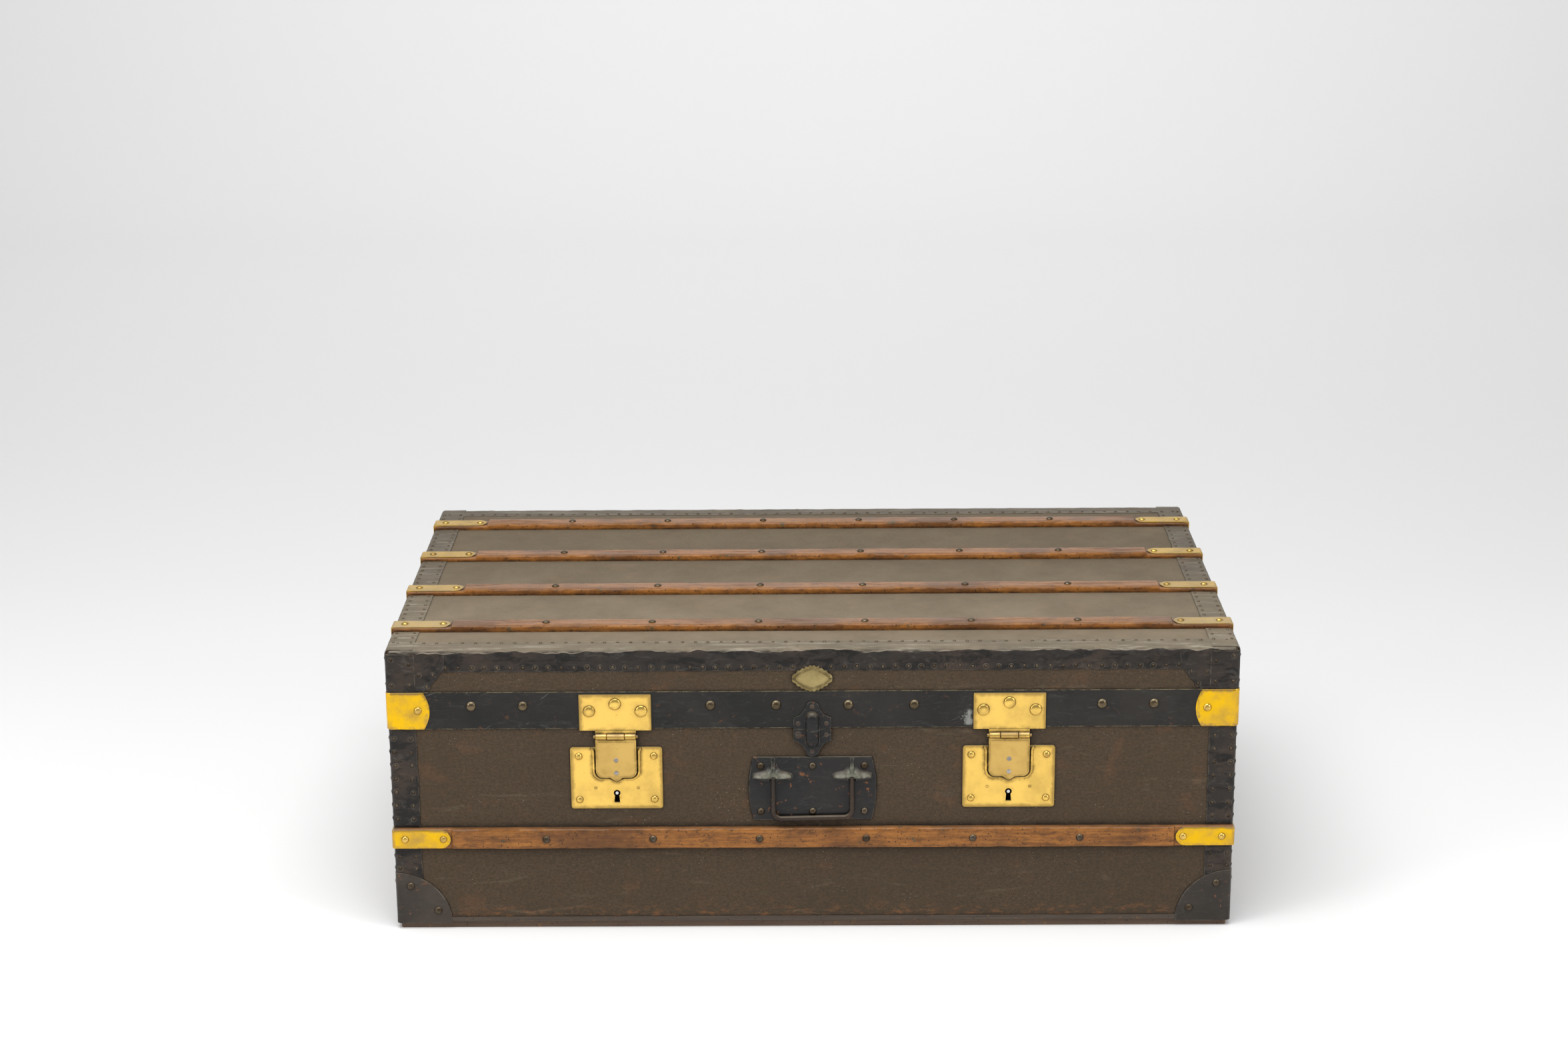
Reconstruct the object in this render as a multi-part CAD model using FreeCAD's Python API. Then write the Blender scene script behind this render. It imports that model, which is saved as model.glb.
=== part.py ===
import FreeCAD, Part
import math
import os

from FreeCAD import Vector

# Flat-topped cabin trunk. Origin: middle of the footprint on the floor. +X runs to the
# right as seen from the front, +Y to the back, +Z up. All lengths are millimetres.

# Driving dimensions of the trunk
trunk_width = 1000.0
trunk_depth = 570.0
trunk_height = 355.0
lid_height = 98.0
lid_gap = 0.5
board_thickness = 10.0
base_thickness = 9.4
base_inset = 2.0
canvas_thickness = 1.0
lining_thickness = 0.5
corner_radius = 4.0

# Sheet metal and binding on the outside
binding_thickness = 1.2
band_thickness = 1.5
seat_gap = 0.3
overrun = 20.0

# How the front's hardware is set out, from the split between lid and body downwards
hasp_plate_below = 2.0
hasp_pivot_below = 9.6
staple_upper_below = 39.2
staple_lower_below = 55.3
hasp_drop = 61.4
lock_plate_drop = 101.5
dowel_split_below = 1.5
dowel_tip_rise = 34.5
dowel_handle_gap = 0.5
handle_rise = 80.6
handle_slat_gap = 8.5
slat_width = 26.0
base_corner_foot = 7.0
base_corner_share = 0.67
tray_seat_drop = 97.0

# How the hardware is set out along the trunk
lock_spacing_share = 0.4646
band_stud_shares = (0.085, 0.24, 0.682, 0.8036)
band_end_stud_shares = (0.2456, 0.6667)
nail_pitch_share = 0.127
nails_per_slat = 6
hinge_inset = 150.0
lid_slat_inset = 77.5
lid_slat_count = 4

# Round work is drawn with flats, apart from pins and pivots, which are true cylinders:
# the turn of one flat, its greatest length, and the turn where the trunk's edges are eased
facet_turn_degrees = 30.0
facet_length = 14.0
arc_least_sides = 3
edge_turn_degrees = 45.0
dome_sides = 6
dome_waist_share = 0.62
wire_sides = 8

# Places that every part shares, worked out from the driving dimensions
split_height = trunk_height - lid_height
half_width = trunk_width / 2
half_depth = trunk_depth / 2
board_half_x = half_width - canvas_thickness
board_half_y = half_depth - canvas_thickness
board_radius = corner_radius - canvas_thickness
inner_half_x = board_half_x - board_thickness
inner_half_y = board_half_y - board_thickness
lined_half_x = inner_half_x - lining_thickness
lined_half_y = inner_half_y - lining_thickness
body_top = split_height - lid_gap
lid_board_top = trunk_height - canvas_thickness
lid_board_under = lid_board_top - board_thickness

hasp_plate_foot = split_height - hasp_plate_below
hasp_pivot_height = split_height - hasp_pivot_below
staple_upper = split_height - staple_upper_below
staple_lower = split_height - staple_lower_below
hasp_foot = split_height - hasp_drop
lock_plate_foot = split_height - lock_plate_drop
dowel_split = split_height - dowel_split_below
handle_height = dowel_split - dowel_tip_rise - dowel_handle_gap - handle_rise / 2
body_slat_middle = handle_height - handle_rise / 2 - handle_slat_gap - slat_width / 2
base_corner_radius = (body_slat_middle - slat_width / 2 - base_corner_foot) * base_corner_share
tray_seat = split_height - tray_seat_drop

lock_spacing = trunk_width * lock_spacing_share
nail_pitch = trunk_width * nail_pitch_share
hinge_spacing = half_width - hinge_inset
lid_slat_outer = half_depth - lid_slat_inset
lid_slat_pitch = 2 * lid_slat_outer / (lid_slat_count - 1)

# The four sides, each as the turn about Z that brings the front's own frame to it
side_turns_degrees = {"front": 0, "right": 90, "back": 180, "left": 270}
top_tilt_degrees = -90
quarter_turn_degrees = 90
full_turn_degrees = 360

ORIGIN = Vector(0, 0, 0)
RIGHTWARD = Vector(1, 0, 0)
BACKWARD = Vector(0, 1, 0)
UPWARD = Vector(0, 0, 1)
same_place = 0.0001
half_share = 0.5


# Helpers shared by every part

def block(x0, x1, y0, y1, z0, z1):
    """A box between two corners."""
    return Part.makeBox(x1 - x0, y1 - y0, z1 - z0, Vector(x0, y0, z0))


def side_reach(side):
    """How far the canvas face of a side stands from the middle."""
    if side in ("front", "back"):
        return half_depth
    return half_width


def side_half(side):
    """Half the length of a side."""
    if side in ("front", "back"):
        return half_width
    return half_depth


def to_side(shape, side):
    """Carry a shape from the front's own frame, with its face at y = 0, to a side."""
    placed = shape.copy()
    placed.translate(Vector(0, -side_reach(side), 0))
    placed.rotate(ORIGIN, UPWARD, side_turns_degrees[side])
    return placed


def to_top(shape, y):
    """Lay a shape from the front's own frame on the lid, its own z along +Y from y."""
    placed = shape.copy()
    placed.rotate(ORIGIN, RIGHTWARD, top_tilt_degrees)
    placed.translate(Vector(0, y, trunk_height))
    return placed


def mirror_x(shape):
    """The same shape on the other side of the middle plane, left for right."""
    return shape.mirror(ORIGIN, RIGHTWARD)


def both_ways(shape):
    """A shape and its mirror image left for right."""
    return [shape, mirror_x(shape)]


def panel(corners):
    """The flat faces that close a loop of three or four corners."""
    loop = []
    for corner in corners:
        if all((corner - other).Length > same_place for other in loop):
            loop.append(corner)
    if len(loop) < 3:
        return []
    if len(loop) == 4:
        normal = (loop[1] - loop[0]).cross(loop[2] - loop[0])
        if abs(normal.normalize().dot(loop[3] - loop[0])) > same_place:
            return panel(loop[:3]) + panel([loop[0], loop[2], loop[3]])
    return [Part.Face(Part.makePolygon(loop + loop[:1]))]


def layered(rings):
    """A solid with flat sides through rings of points that match one for one."""
    faces = []
    for near, far in zip(rings, rings[1:]):
        for number in range(len(near)):
            other = (number + 1) % len(near)
            faces += panel([near[number], near[other], far[other], far[number]])
    for end in (rings[0], rings[-1]):
        loop = [point for place, point in enumerate(end)
                if (point - end[place - 1]).Length > same_place]
        if len(loop) > 2:
            faces.append(Part.Face(Part.makePolygon(loop + loop[:1])))
    solid = Part.makeSolid(Part.makeShell(faces))
    if solid.Volume < 0:
        solid.reverse()
    return solid


def circle_points(radius, sides):
    """Points evenly round a circle about Z, level with the origin."""
    turn = 2 * math.pi / sides
    return [Vector(radius * math.cos((number + half_share) * turn),
                   radius * math.sin((number + half_share) * turn), 0) for number in range(sides)]


def round_bar(radius, length, at, direction):
    """A round bar or bore from a place along a direction."""
    sides = round(full_turn_degrees / facet_turn_degrees)
    near = circle_points(radius, sides)
    bar = layered([near, [point + UPWARD * length for point in near]])
    bar.Placement = FreeCAD.Placement(at, FreeCAD.Rotation(UPWARD, direction))
    return bar


def rounded_rectangle(half_x, half_y, radius, z):
    """The points of a level rectangle about the middle, its corners rounded."""
    steps = round(quarter_turn_degrees / edge_turn_degrees)
    points = []
    for quarter, (way_x, way_y) in enumerate(((1, 1), (-1, 1), (-1, -1), (1, -1))):
        for step in range(steps + 1):
            angle = math.radians(quarter * quarter_turn_degrees + step * edge_turn_degrees)
            points.append(Vector(way_x * (half_x - radius) + radius * math.cos(angle),
                                 way_y * (half_y - radius) + radius * math.sin(angle), z))
    return points


def rounded_block(half_x, half_y, z0, z1, radius):
    """A block about the middle, its upright edges rounded."""
    return layered([rounded_rectangle(half_x, half_y, radius, z) for z in (z0, z1)])


def ring(inner_offset, thickness, z0, z1):
    """A skin round the four sides, its inner face a given distance outside the canvas."""
    outer_offset = inner_offset + thickness
    outer = rounded_block(half_width + outer_offset, half_depth + outer_offset, z0, z1,
                          corner_radius + outer_offset)
    inner = rounded_block(half_width + inner_offset, half_depth + inner_offset,
                          z0 - overrun, z1 + overrun, corner_radius + inner_offset)
    return outer.cut(inner)


def chords(here, through, there):
    """The points after the first along an arc, from one flat to the next."""
    arc = Part.Arc(here, through, there).toShape()
    turn_degrees = math.degrees(arc.Length / arc.Curve.Radius)
    sides = max(arc_least_sides, round(turn_degrees / facet_turn_degrees),
                math.ceil(arc.Length / facet_length))
    points = arc.discretize(Number=sides + 1)
    if (points[0] - here).Length > (points[-1] - here).Length:
        points.reverse()
    return points[1:]


def outline_face(points_and_arcs):
    """A face in the XZ plane: each entry is a point, or (through, point) for an arc."""
    loop = [points_and_arcs[0]]
    for entry in points_and_arcs[1:]:
        if isinstance(entry, tuple):
            loop += chords(loop[-1], *entry)
        else:
            loop.append(entry)
    if (loop[-1] - loop[0]).Length > same_place:
        loop.append(loop[0])
    return Part.Face(Part.makePolygon(loop))


def sheet(points_and_arcs, base, thickness):
    """A plate cut to an outline, standing proud of y = 0 from base to base + thickness."""
    face = outline_face(points_and_arcs)
    face.translate(Vector(0, -base, 0))
    return face.extrude(Vector(0, -thickness, 0))


def dome(radius, height):
    """A round nail or rivet head with its flat back on y = 0, facing the front."""
    back = circle_points(radius, dome_sides)
    waist_rise = height * (1 - dome_waist_share ** 2)
    waist = [point * dome_waist_share + UPWARD * waist_rise for point in back]
    crown = [UPWARD * height] * dome_sides
    head = layered([back, waist, crown])
    head.rotate(ORIGIN, RIGHTWARD, quarter_turn_degrees)
    return head


def dome_at(x, base, z, radius, height):
    """A head in the front's own frame, seated a given distance in front of y = 0."""
    head = dome(radius, height)
    head.translate(Vector(x, -base, z))
    return head


def flat_list(groups):
    """One list from a list of lists."""
    return [item for group in groups for item in group]


def write(name, shapes):
    """Write one node from a shape or a list of separate shapes."""
    if not isinstance(shapes, list):
        shapes = [shapes]
    solids = flat_list([shape.Solids for shape in shapes])
    node = solids[0] if len(solids) == 1 else Part.makeCompound(solids)
    node.exportStep("parts/" + name + ".step")


# Sizes of the base
strip_top = 15.1
base_corner_thickness = 1.6
base_stud_radius = 4.8
base_stud_height = 2.6
base_stud_far_share = 0.742
base_stud_near_share = 0.258

# Sizes of the upright bindings on the body's corners
upright_binding_width = 32.0

# Sizes of the slats and their nails
slat_thickness = 8.0
slat_end_thickness = 5.6
slat_edge_bevel = 1.8
slat_ramp = 8.0
nail_radius = 4.6
nail_height = 2.6

# Sizes of the clamps over the slat ends
clamp_reach = 69.0
clamp_thickness = 1.2
clamp_leg = 30.0
clamp_bend_bevel = 0.8
clamp_stud_outer = 13.5
clamp_stud_inner = 59.5
clamp_stud_radius = 4.4
clamp_stud_height = 2.4
clamp_leg_stud_drop = 16.0


def base_corner_outline(reach_half):
    """A quarter disc in a bottom corner, seen from one side."""
    radius = base_corner_radius
    slant = radius * math.sqrt(half_share)
    outer = reach_half + overrun
    foot = base_corner_foot
    return [Vector(outer, 0, foot), Vector(outer, 0, foot + radius), Vector(reach_half, 0, foot + radius),
            (Vector(reach_half - slant, 0, foot + slant), Vector(reach_half - radius, 0, foot))]


def base_corner_plates():
    """Quarter-round iron plates wrapped round the four bottom corners."""
    skin = ring(0, base_corner_thickness, base_corner_foot, base_corner_foot + base_corner_radius)
    return [skin.common(region) for region in four_corners(corner_region(base_corner_outline))]


def base_corner_studs():
    """Two rivets on each face of every bottom corner plate."""
    studs = []
    near = base_corner_radius * base_stud_near_share
    far = base_corner_radius * base_stud_far_share
    for side in side_turns_degrees:
        reach = side_half(side)
        for across, up in ((near, far), (far, near)):
            for way in (-1, 1):
                head = dome_at(way * (reach - across), base_corner_thickness, base_corner_foot + up,
                               base_stud_radius, base_stud_height)
                studs.append(to_side(head, side))
    return studs


def base_strips(plates):
    """The thin strip nailed round the foot of the canvas, butted to the corner plates."""
    strip = ring(0, binding_thickness, base_thickness, strip_top)
    for plate in plates:
        strip = strip.cut(plate)
    return strip


def slat_zone(side_halves, middle):
    """The height that a body slat and its clamps take, as a block through the trunk."""
    half = side_halves + overrun
    return block(-half, half, -half, half, middle - slat_width / 2, middle + slat_width / 2)


def upright_bindings(plates):
    """Strips wrapped round the body's upright corners, butted to slats and corner plates."""
    skin = ring(0, binding_thickness, strip_top, body_top)
    zone = slat_zone(half_width, body_slat_middle)
    bindings = []
    for way_x in (-1, 1):
        for way_y in (-1, 1):
            x_ends = sorted((way_x * (half_width + overrun), way_x * (half_width - upright_binding_width)))
            y_ends = sorted((way_y * (half_depth + overrun), way_y * (half_depth - upright_binding_width)))
            corner = block(x_ends[0], x_ends[1], y_ends[0], y_ends[1], 0, trunk_height)
            binding = skin.common(corner).cut(zone)
            for plate in plates:
                binding = binding.cut(plate)
            bindings.append(binding)
    return bindings


def slat(length):
    """A slat with eased edges, thinned at both ends for its clamps, centred on the frame."""
    half = length / 2
    seat = half - clamp_reach
    profile = [Vector(-half, 0, 0), Vector(half, 0, 0), Vector(half, -slat_end_thickness, 0),
               Vector(seat, -slat_end_thickness, 0), Vector(seat - slat_ramp, -slat_thickness, 0),
               Vector(-seat + slat_ramp, -slat_thickness, 0), Vector(-seat, -slat_end_thickness, 0),
               Vector(-half, -slat_end_thickness, 0), Vector(-half, 0, 0)]
    side_view = Part.Face(Part.makePolygon(profile)).extrude(Vector(0, 0, slat_width))
    side_view.translate(Vector(0, 0, -slat_width / 2))
    bar = block(-half, half, -slat_thickness, 0, -slat_width / 2, slat_width / 2)
    long_edges = [edge for edge in bar.Edges
                  if edge.BoundBox.XLength > slat_width and edge.BoundBox.YMax < -slat_thickness / 2]
    return bar.makeChamfer(slat_edge_bevel, long_edges).common(side_view)


def clamp():
    """A clamp at the right-hand end of a slat, bent down the end face, in the slat's frame."""
    half = slat_width / 2
    inner = half_width - clamp_reach
    outer = half_width + clamp_thickness
    top = sheet([Vector(outer, 0, -half), Vector(outer, 0, half), Vector(inner + half, 0, half),
                 (Vector(inner, 0, 0), Vector(inner + half, 0, -half))],
                slat_end_thickness, clamp_thickness)
    leg_outline = [Vector(0, 0, -half), Vector(0, 0, half), Vector(clamp_leg - half, 0, half),
                   (Vector(clamp_leg, 0, 0), Vector(clamp_leg - half, 0, -half))]
    leg = sheet(leg_outline, 0, clamp_thickness)
    leg.rotate(ORIGIN, UPWARD, side_turns_degrees["right"])
    leg.translate(Vector(half_width, 0, 0))
    rise = block(half_width, outer, -slat_end_thickness - clamp_thickness, 0, -half, half)
    bent = top.fuse([leg, rise]).removeSplitter()
    bend = [edge for edge in bent.Edges
            if edge.BoundBox.XMin > outer - clamp_bend_bevel
            and edge.BoundBox.YMax < -slat_end_thickness - clamp_thickness / 2
            and edge.BoundBox.ZLength > half]
    return bent.makeChamfer(clamp_bend_bevel, bend)


def clamp_studs():
    """The two heads on top of a clamp and the one on its leg, in the slat's frame."""
    seat = slat_end_thickness + clamp_thickness
    heads = [dome_at(half_width - clamp_stud_outer, seat, 0, clamp_stud_radius, clamp_stud_height),
             dome_at(half_width - clamp_stud_inner, seat, 0, clamp_stud_radius, clamp_stud_height)]
    leg_head = dome_at(clamp_leg_stud_drop, clamp_thickness, 0, clamp_stud_radius, clamp_stud_height)
    leg_head.rotate(ORIGIN, UPWARD, side_turns_degrees["right"])
    leg_head.translate(Vector(half_width, 0, 0))
    return heads + [leg_head]


def slat_nails():
    """The nails along a slat, evenly pitched about its middle, in the slat's frame."""
    first = -(nails_per_slat - 1) * nail_pitch / 2
    return [dome_at(first + number * nail_pitch, slat_thickness, 0, nail_radius, nail_height)
            for number in range(nails_per_slat)]


def raised(shapes, height):
    """Shapes of the front's own frame, lifted to a height."""
    lifted = []
    for shape in shapes:
        copy = shape.copy()
        copy.translate(Vector(0, 0, height))
        lifted.append(copy)
    return lifted


# Sizes of the locks, each about its own middle line
lock_plate_width = 109.0
lock_plate_height = 78.0
lock_plate_thickness = 1.5
lock_plate_radius = 3.5
lock_rim_width = 3.0
lock_rim_height = 1.2
lock_rim_gap = 1.2
lock_rim_foot_half = 8.0
lock_stud_inset_x = 10.0
lock_stud_inset_z = 11.5
lock_stud_radius = 4.5
lock_stud_height = 2.6
lock_rivet_spacing = 50.4
lock_rivet_height_up = 26.2
lock_rivet_radius = 2.0
lock_rivet_height = 0.8
keyhole_height_up = 19.6
keyhole_radius = 4.0
keyhole_drop = 12.0
keyhole_waist = 5.4
keyhole_foot = 6.8
key_pin_radius = 1.9
case_width = 60.0
case_margin = 3.5
case_wall = 1.2
case_gap = 0.25

# Sizes of the hasps and the plates they hang from
hasp_plate_width = 85.0
hasp_plate_height = 45.0
hasp_plate_thickness = 1.5
hasp_plate_bevel = 1.0
hasp_width = 48.0
hasp_thickness = 2.5
hasp_corner = 8.0
hasp_tip_half = 7.0
hasp_tip_drop = 3.2
hasp_knuckle_radius = 3.6
hasp_knuckle_middle = 21.0
hasp_knuckle_gap = 0.2
hasp_pin_radius = 1.8
hasp_pin_length = 52.0
pin_clearance = 0.1
hasp_stud_radius = 7.2
hasp_stud_height = 2.8
hasp_stud_side = 30.8
hasp_stud_side_up = 24.2
hasp_stud_top_up = 33.2
staple_bar = 3.4
staple_reach = 10.0
staple_rivet_radius = 2.6
staple_rivet_height = 0.7
staple_slot_gap = 1.2
staple_nose_bevel = 1.0

# Sizes of the bolt that passes through the staple
bolt_length = 24.0
bolt_height = 7.6
bolt_thickness = 3.0
bolt_start = 4.2
bolt_travel = 9.0
bolt_eye_gap = 0.8
bolt_side_gap = 0.3
bolt_rail_height = 2.0
bolt_tail_width = 5.0
bolt_tail_drop = 14.0

lock_middles = (-lock_spacing / 2, lock_spacing / 2)
hasp_back = lock_plate_thickness + seat_gap
hasp_pivot_out = hasp_knuckle_radius + seat_gap
staple_middle = (staple_upper + staple_lower) / 2
case_half = case_width / 2
case_foot = lock_plate_foot + case_margin
case_head = lock_plate_foot + lock_plate_height - case_margin
case_depth = canvas_thickness + board_thickness
bolt_back = staple_reach - hasp_back - staple_bar - bolt_eye_gap
bolt_front = bolt_back - bolt_thickness


def moved(shape, x):
    """A shape moved sideways."""
    copy = shape.copy()
    copy.translate(Vector(x, 0, 0))
    return copy


def plate_outline(half, z0, z1, radius):
    """The outline of a plate with four rounded corners."""
    bulge = radius * (1 - math.sqrt(half_share))
    return [Vector(-half + radius, 0, z0), Vector(half - radius, 0, z0),
            (Vector(half - bulge, 0, z0 + bulge), Vector(half, 0, z0 + radius)),
            Vector(half, 0, z1 - radius),
            (Vector(half - bulge, 0, z1 - bulge), Vector(half - radius, 0, z1)),
            Vector(-half + radius, 0, z1),
            (Vector(-half + bulge, 0, z1 - bulge), Vector(-half, 0, z1 - radius)),
            Vector(-half, 0, z0 + radius),
            (Vector(-half + bulge, 0, z0 + bulge), Vector(-half + radius, 0, z0))]


def hasp_outline(grow, top):
    """The hasp's outline with its round lower corners and small tip, grown all round."""
    half = hasp_width / 2 + grow
    foot = hasp_foot - grow
    corner = hasp_corner + grow
    bulge = corner * (1 - math.sqrt(half_share))
    return [Vector(-half, 0, top), Vector(-half, 0, foot + corner),
            (Vector(-half + bulge, 0, foot + bulge), Vector(-half + corner, 0, foot)),
            Vector(-hasp_tip_half, 0, foot),
            (Vector(0, 0, foot - hasp_tip_drop), Vector(hasp_tip_half, 0, foot)),
            Vector(half - corner, 0, foot),
            (Vector(half - bulge, 0, foot + bulge), Vector(half, 0, foot + corner)),
            Vector(half, 0, top)]


def keyhole_cutter(depth_from, depth_to):
    """The keyhole: a round hole over a slot that widens to its foot."""
    height = lock_plate_foot + keyhole_height_up
    slot = [Vector(-keyhole_waist / 2, 0, height), Vector(-keyhole_foot / 2, 0, height - keyhole_drop),
            Vector(keyhole_foot / 2, 0, height - keyhole_drop), Vector(keyhole_waist / 2, 0, height)]
    hole = round_bar(keyhole_radius, depth_to - depth_from, Vector(0, -depth_from, height), -BACKWARD)
    return sheet(slot, depth_from, depth_to - depth_from).fuse(hole)


def staple_slot(base, depth):
    """The way through for the staple, with room for the arc that it swings on."""
    half = staple_bar / 2 + staple_slot_gap
    lower = staple_lower - staple_bar / 2 - staple_slot_gap - staple_bar
    upper = staple_upper + staple_bar / 2 + staple_slot_gap
    return block(-half, half, -base - depth, -base, lower, upper)


def lock_plate():
    """A lock plate with the raised rim that borders the hasp, its slot and keyhole."""
    top = lock_plate_foot + lock_plate_height
    plate = sheet(plate_outline(lock_plate_width / 2, lock_plate_foot, top, lock_plate_radius),
                  0, lock_plate_thickness)
    rim = sheet(hasp_outline(lock_rim_gap + lock_rim_width, top), lock_plate_thickness, lock_rim_height)
    well = sheet(hasp_outline(lock_rim_gap, top + overrun), 0, overrun)
    foot_gap = block(-lock_rim_foot_half, lock_rim_foot_half, -overrun, 0, 0, hasp_foot)
    rim = rim.cut(well).cut(foot_gap)
    plate = plate.fuse(rim)
    plate = plate.cut(staple_slot(-overrun, 2 * overrun))
    return plate.cut(keyhole_cutter(-overrun, overrun))


def lock_plate_heads():
    """Four studs at the corners of a lock plate and the two small case rivets."""
    heads = []
    for way in (-1, 1):
        x = way * (lock_plate_width / 2 - lock_stud_inset_x)
        for z in (lock_plate_foot + lock_stud_inset_z,
                  lock_plate_foot + lock_plate_height - lock_stud_inset_z):
            heads.append(dome_at(x, lock_plate_thickness, z, lock_stud_radius, lock_stud_height))
        heads.append(dome_at(way * lock_rivet_spacing / 2, lock_plate_thickness,
                             lock_plate_foot + lock_rivet_height_up, lock_rivet_radius, lock_rivet_height))
    return heads


def lock_case():
    """The box let into the front board behind a lock plate, with the bolt's rails and key pin."""
    shell = block(-case_half, case_half, 0, case_depth, case_foot, case_head)
    room = block(-case_half + case_wall, case_half - case_wall, -overrun, case_depth - case_wall,
                 case_foot + case_wall, case_head - case_wall)
    shell = shell.cut(room)
    floor = case_depth - case_wall
    rails = []
    for way in (-1, 1):
        near = staple_middle + way * (bolt_height / 2 + bolt_side_gap)
        ends = sorted((near, near + way * bolt_rail_height))
        rails.append(block(bolt_start, bolt_start + bolt_length, bolt_front, floor, ends[0], ends[1]))
    pin = round_bar(key_pin_radius, floor + lock_plate_thickness,
                    Vector(0, floor, lock_plate_foot + keyhole_height_up), -BACKWARD)
    return shell.fuse(rails + [pin]).cut(bolt_tail_way())


def bolt_tail_way():
    """Room for the bolt's tail through the lower rail over its whole travel."""
    tail_end = bolt_start + bolt_length
    rail_top = staple_middle - bolt_height / 2 - bolt_side_gap
    return block(tail_end - bolt_tail_width - bolt_travel - bolt_side_gap, tail_end + bolt_side_gap,
                 bolt_front - bolt_side_gap, case_depth - case_wall,
                 rail_top - bolt_rail_height - bolt_side_gap, rail_top + bolt_side_gap)


def lock_bolt():
    """The flat bolt with the tail that the key pushes, drawn back clear of the staple."""
    low = staple_middle - bolt_height / 2
    tail_end = bolt_start + bolt_length
    bar = block(bolt_start, tail_end, bolt_front, bolt_back, low, low + bolt_height)
    tail = block(tail_end - bolt_tail_width, tail_end, bolt_front, bolt_back, low - bolt_tail_drop, low)
    return bar.fuse(tail).removeSplitter()


def knuckle(x0, x1):
    """One knuckle of a hasp's hinge."""
    at = Vector(x0, -hasp_pivot_out, hasp_pivot_height)
    return round_bar(hasp_knuckle_radius, x1 - x0, at, RIGHTWARD)


def hasp_pin_bore():
    """The bore through all knuckles of a hasp's hinge."""
    return round_bar(hasp_pin_radius + pin_clearance, 2 * hasp_width,
                     Vector(-hasp_width, -hasp_pivot_out, hasp_pivot_height), RIGHTWARD)


def hasp_plate():
    """The bevelled plate on the band, with the neck and two knuckles that carry the hasp."""
    half = hasp_plate_width / 2
    top = hasp_plate_foot + hasp_plate_height
    plate = block(-half, half, -band_thickness - hasp_plate_thickness, -band_thickness,
                  hasp_plate_foot, top)
    front_edges = [edge for edge in plate.Edges
                   if edge.BoundBox.YMax < -band_thickness - hasp_plate_thickness / 2]
    plate = plate.makeChamfer(hasp_plate_bevel, front_edges)
    neck_half = hasp_width / 2
    middle_half = hasp_knuckle_middle / 2 + hasp_knuckle_gap
    neck = block(-neck_half, neck_half, -band_thickness - hasp_plate_thickness, -band_thickness,
                 hasp_pivot_height, hasp_plate_foot + hasp_plate_bevel)
    knuckles = [knuckle(-neck_half, -middle_half), knuckle(middle_half, neck_half)]
    middle = block(-middle_half, middle_half, -overrun, overrun, 0,
                   hasp_pivot_height + hasp_knuckle_radius + seat_gap)
    return plate.fuse([neck.cut(middle)] + knuckles).cut(hasp_pin_bore()).removeSplitter()


def hasp_plate_heads():
    """Three large flat-domed heads on a hasp plate."""
    base = band_thickness + hasp_plate_thickness
    return [dome_at(-hasp_stud_side, base, hasp_plate_foot + hasp_stud_side_up,
                    hasp_stud_radius, hasp_stud_height),
            dome_at(0, base, hasp_plate_foot + hasp_stud_top_up, hasp_stud_radius, hasp_stud_height),
            dome_at(hasp_stud_side, base, hasp_plate_foot + hasp_stud_side_up,
                    hasp_stud_radius, hasp_stud_height)]


def staple():
    """The loop on the hasp's back that the bolt passes through."""
    half = staple_bar / 2
    inner = -hasp_back
    outer = inner + staple_reach
    low = staple_lower - half
    high = staple_upper + half
    loop = block(-half, half, inner, outer, low, high)
    eye = block(-staple_bar, staple_bar, inner, outer - staple_bar, low + staple_bar, high - staple_bar)
    nose = [edge for edge in loop.Edges
            if edge.BoundBox.YMin > outer - half and edge.BoundBox.XLength > half]
    return loop.makeChamfer(staple_nose_bevel, nose).cut(eye)


def hasp():
    """The swinging hasp with its middle knuckle, staple and the staple's riveted ends."""
    top = hasp_pivot_height - hasp_knuckle_radius - seat_gap
    plate = sheet(hasp_outline(0, top), hasp_back, hasp_thickness)
    middle_half = hasp_knuckle_middle / 2
    tongue = block(-middle_half, middle_half, -hasp_back - hasp_thickness, -hasp_back,
                   top, hasp_pivot_height)
    rivets = [dome_at(0, hasp_back + hasp_thickness, z, staple_rivet_radius, staple_rivet_height)
              for z in (staple_lower, staple_upper)]
    whole = plate.fuse([tongue, knuckle(-middle_half, middle_half), staple()] + rivets)
    return whole.cut(hasp_pin_bore()).removeSplitter()


def hasp_pin():
    """The pin through a hasp's knuckles."""
    return Part.makeCylinder(hasp_pin_radius, hasp_pin_length,
                             Vector(-hasp_pin_length / 2, -hasp_pivot_out, hasp_pivot_height), RIGHTWARD)


def at_locks(shape, side="front"):
    """A lock piece set at both locks on the front."""
    return [to_side(moved(shape, x), side) for x in lock_middles]


def case_openings(grow):
    """The two mouths in the front for the lock cases."""
    mouth = block(-case_half - grow, case_half + grow, -overrun, case_depth + overrun,
                  case_foot - grow, case_head + grow)
    return at_locks(mouth)


# Boards, canvas and lining of the body

def body_boards():
    """The four boards of the body; the end boards stand between front and back."""
    outer = rounded_block(board_half_x, board_half_y, base_thickness, body_top, board_radius)
    front = outer.common(block(-half_width, half_width, -half_depth, -inner_half_y, 0, trunk_height))
    back = outer.common(block(-half_width, half_width, inner_half_y, half_depth, 0, trunk_height))
    for mouth in case_openings(case_gap):
        front = front.cut(mouth)
    left = block(-board_half_x, -inner_half_x, -inner_half_y, inner_half_y, base_thickness, body_top)
    return {"front": front, "back": back, "left": left, "right": mirror_x(left)}


def bottom_board():
    """The board that the trunk stands on."""
    return rounded_block(board_half_x - base_inset, board_half_y - base_inset, 0, base_thickness,
                         board_radius)


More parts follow.
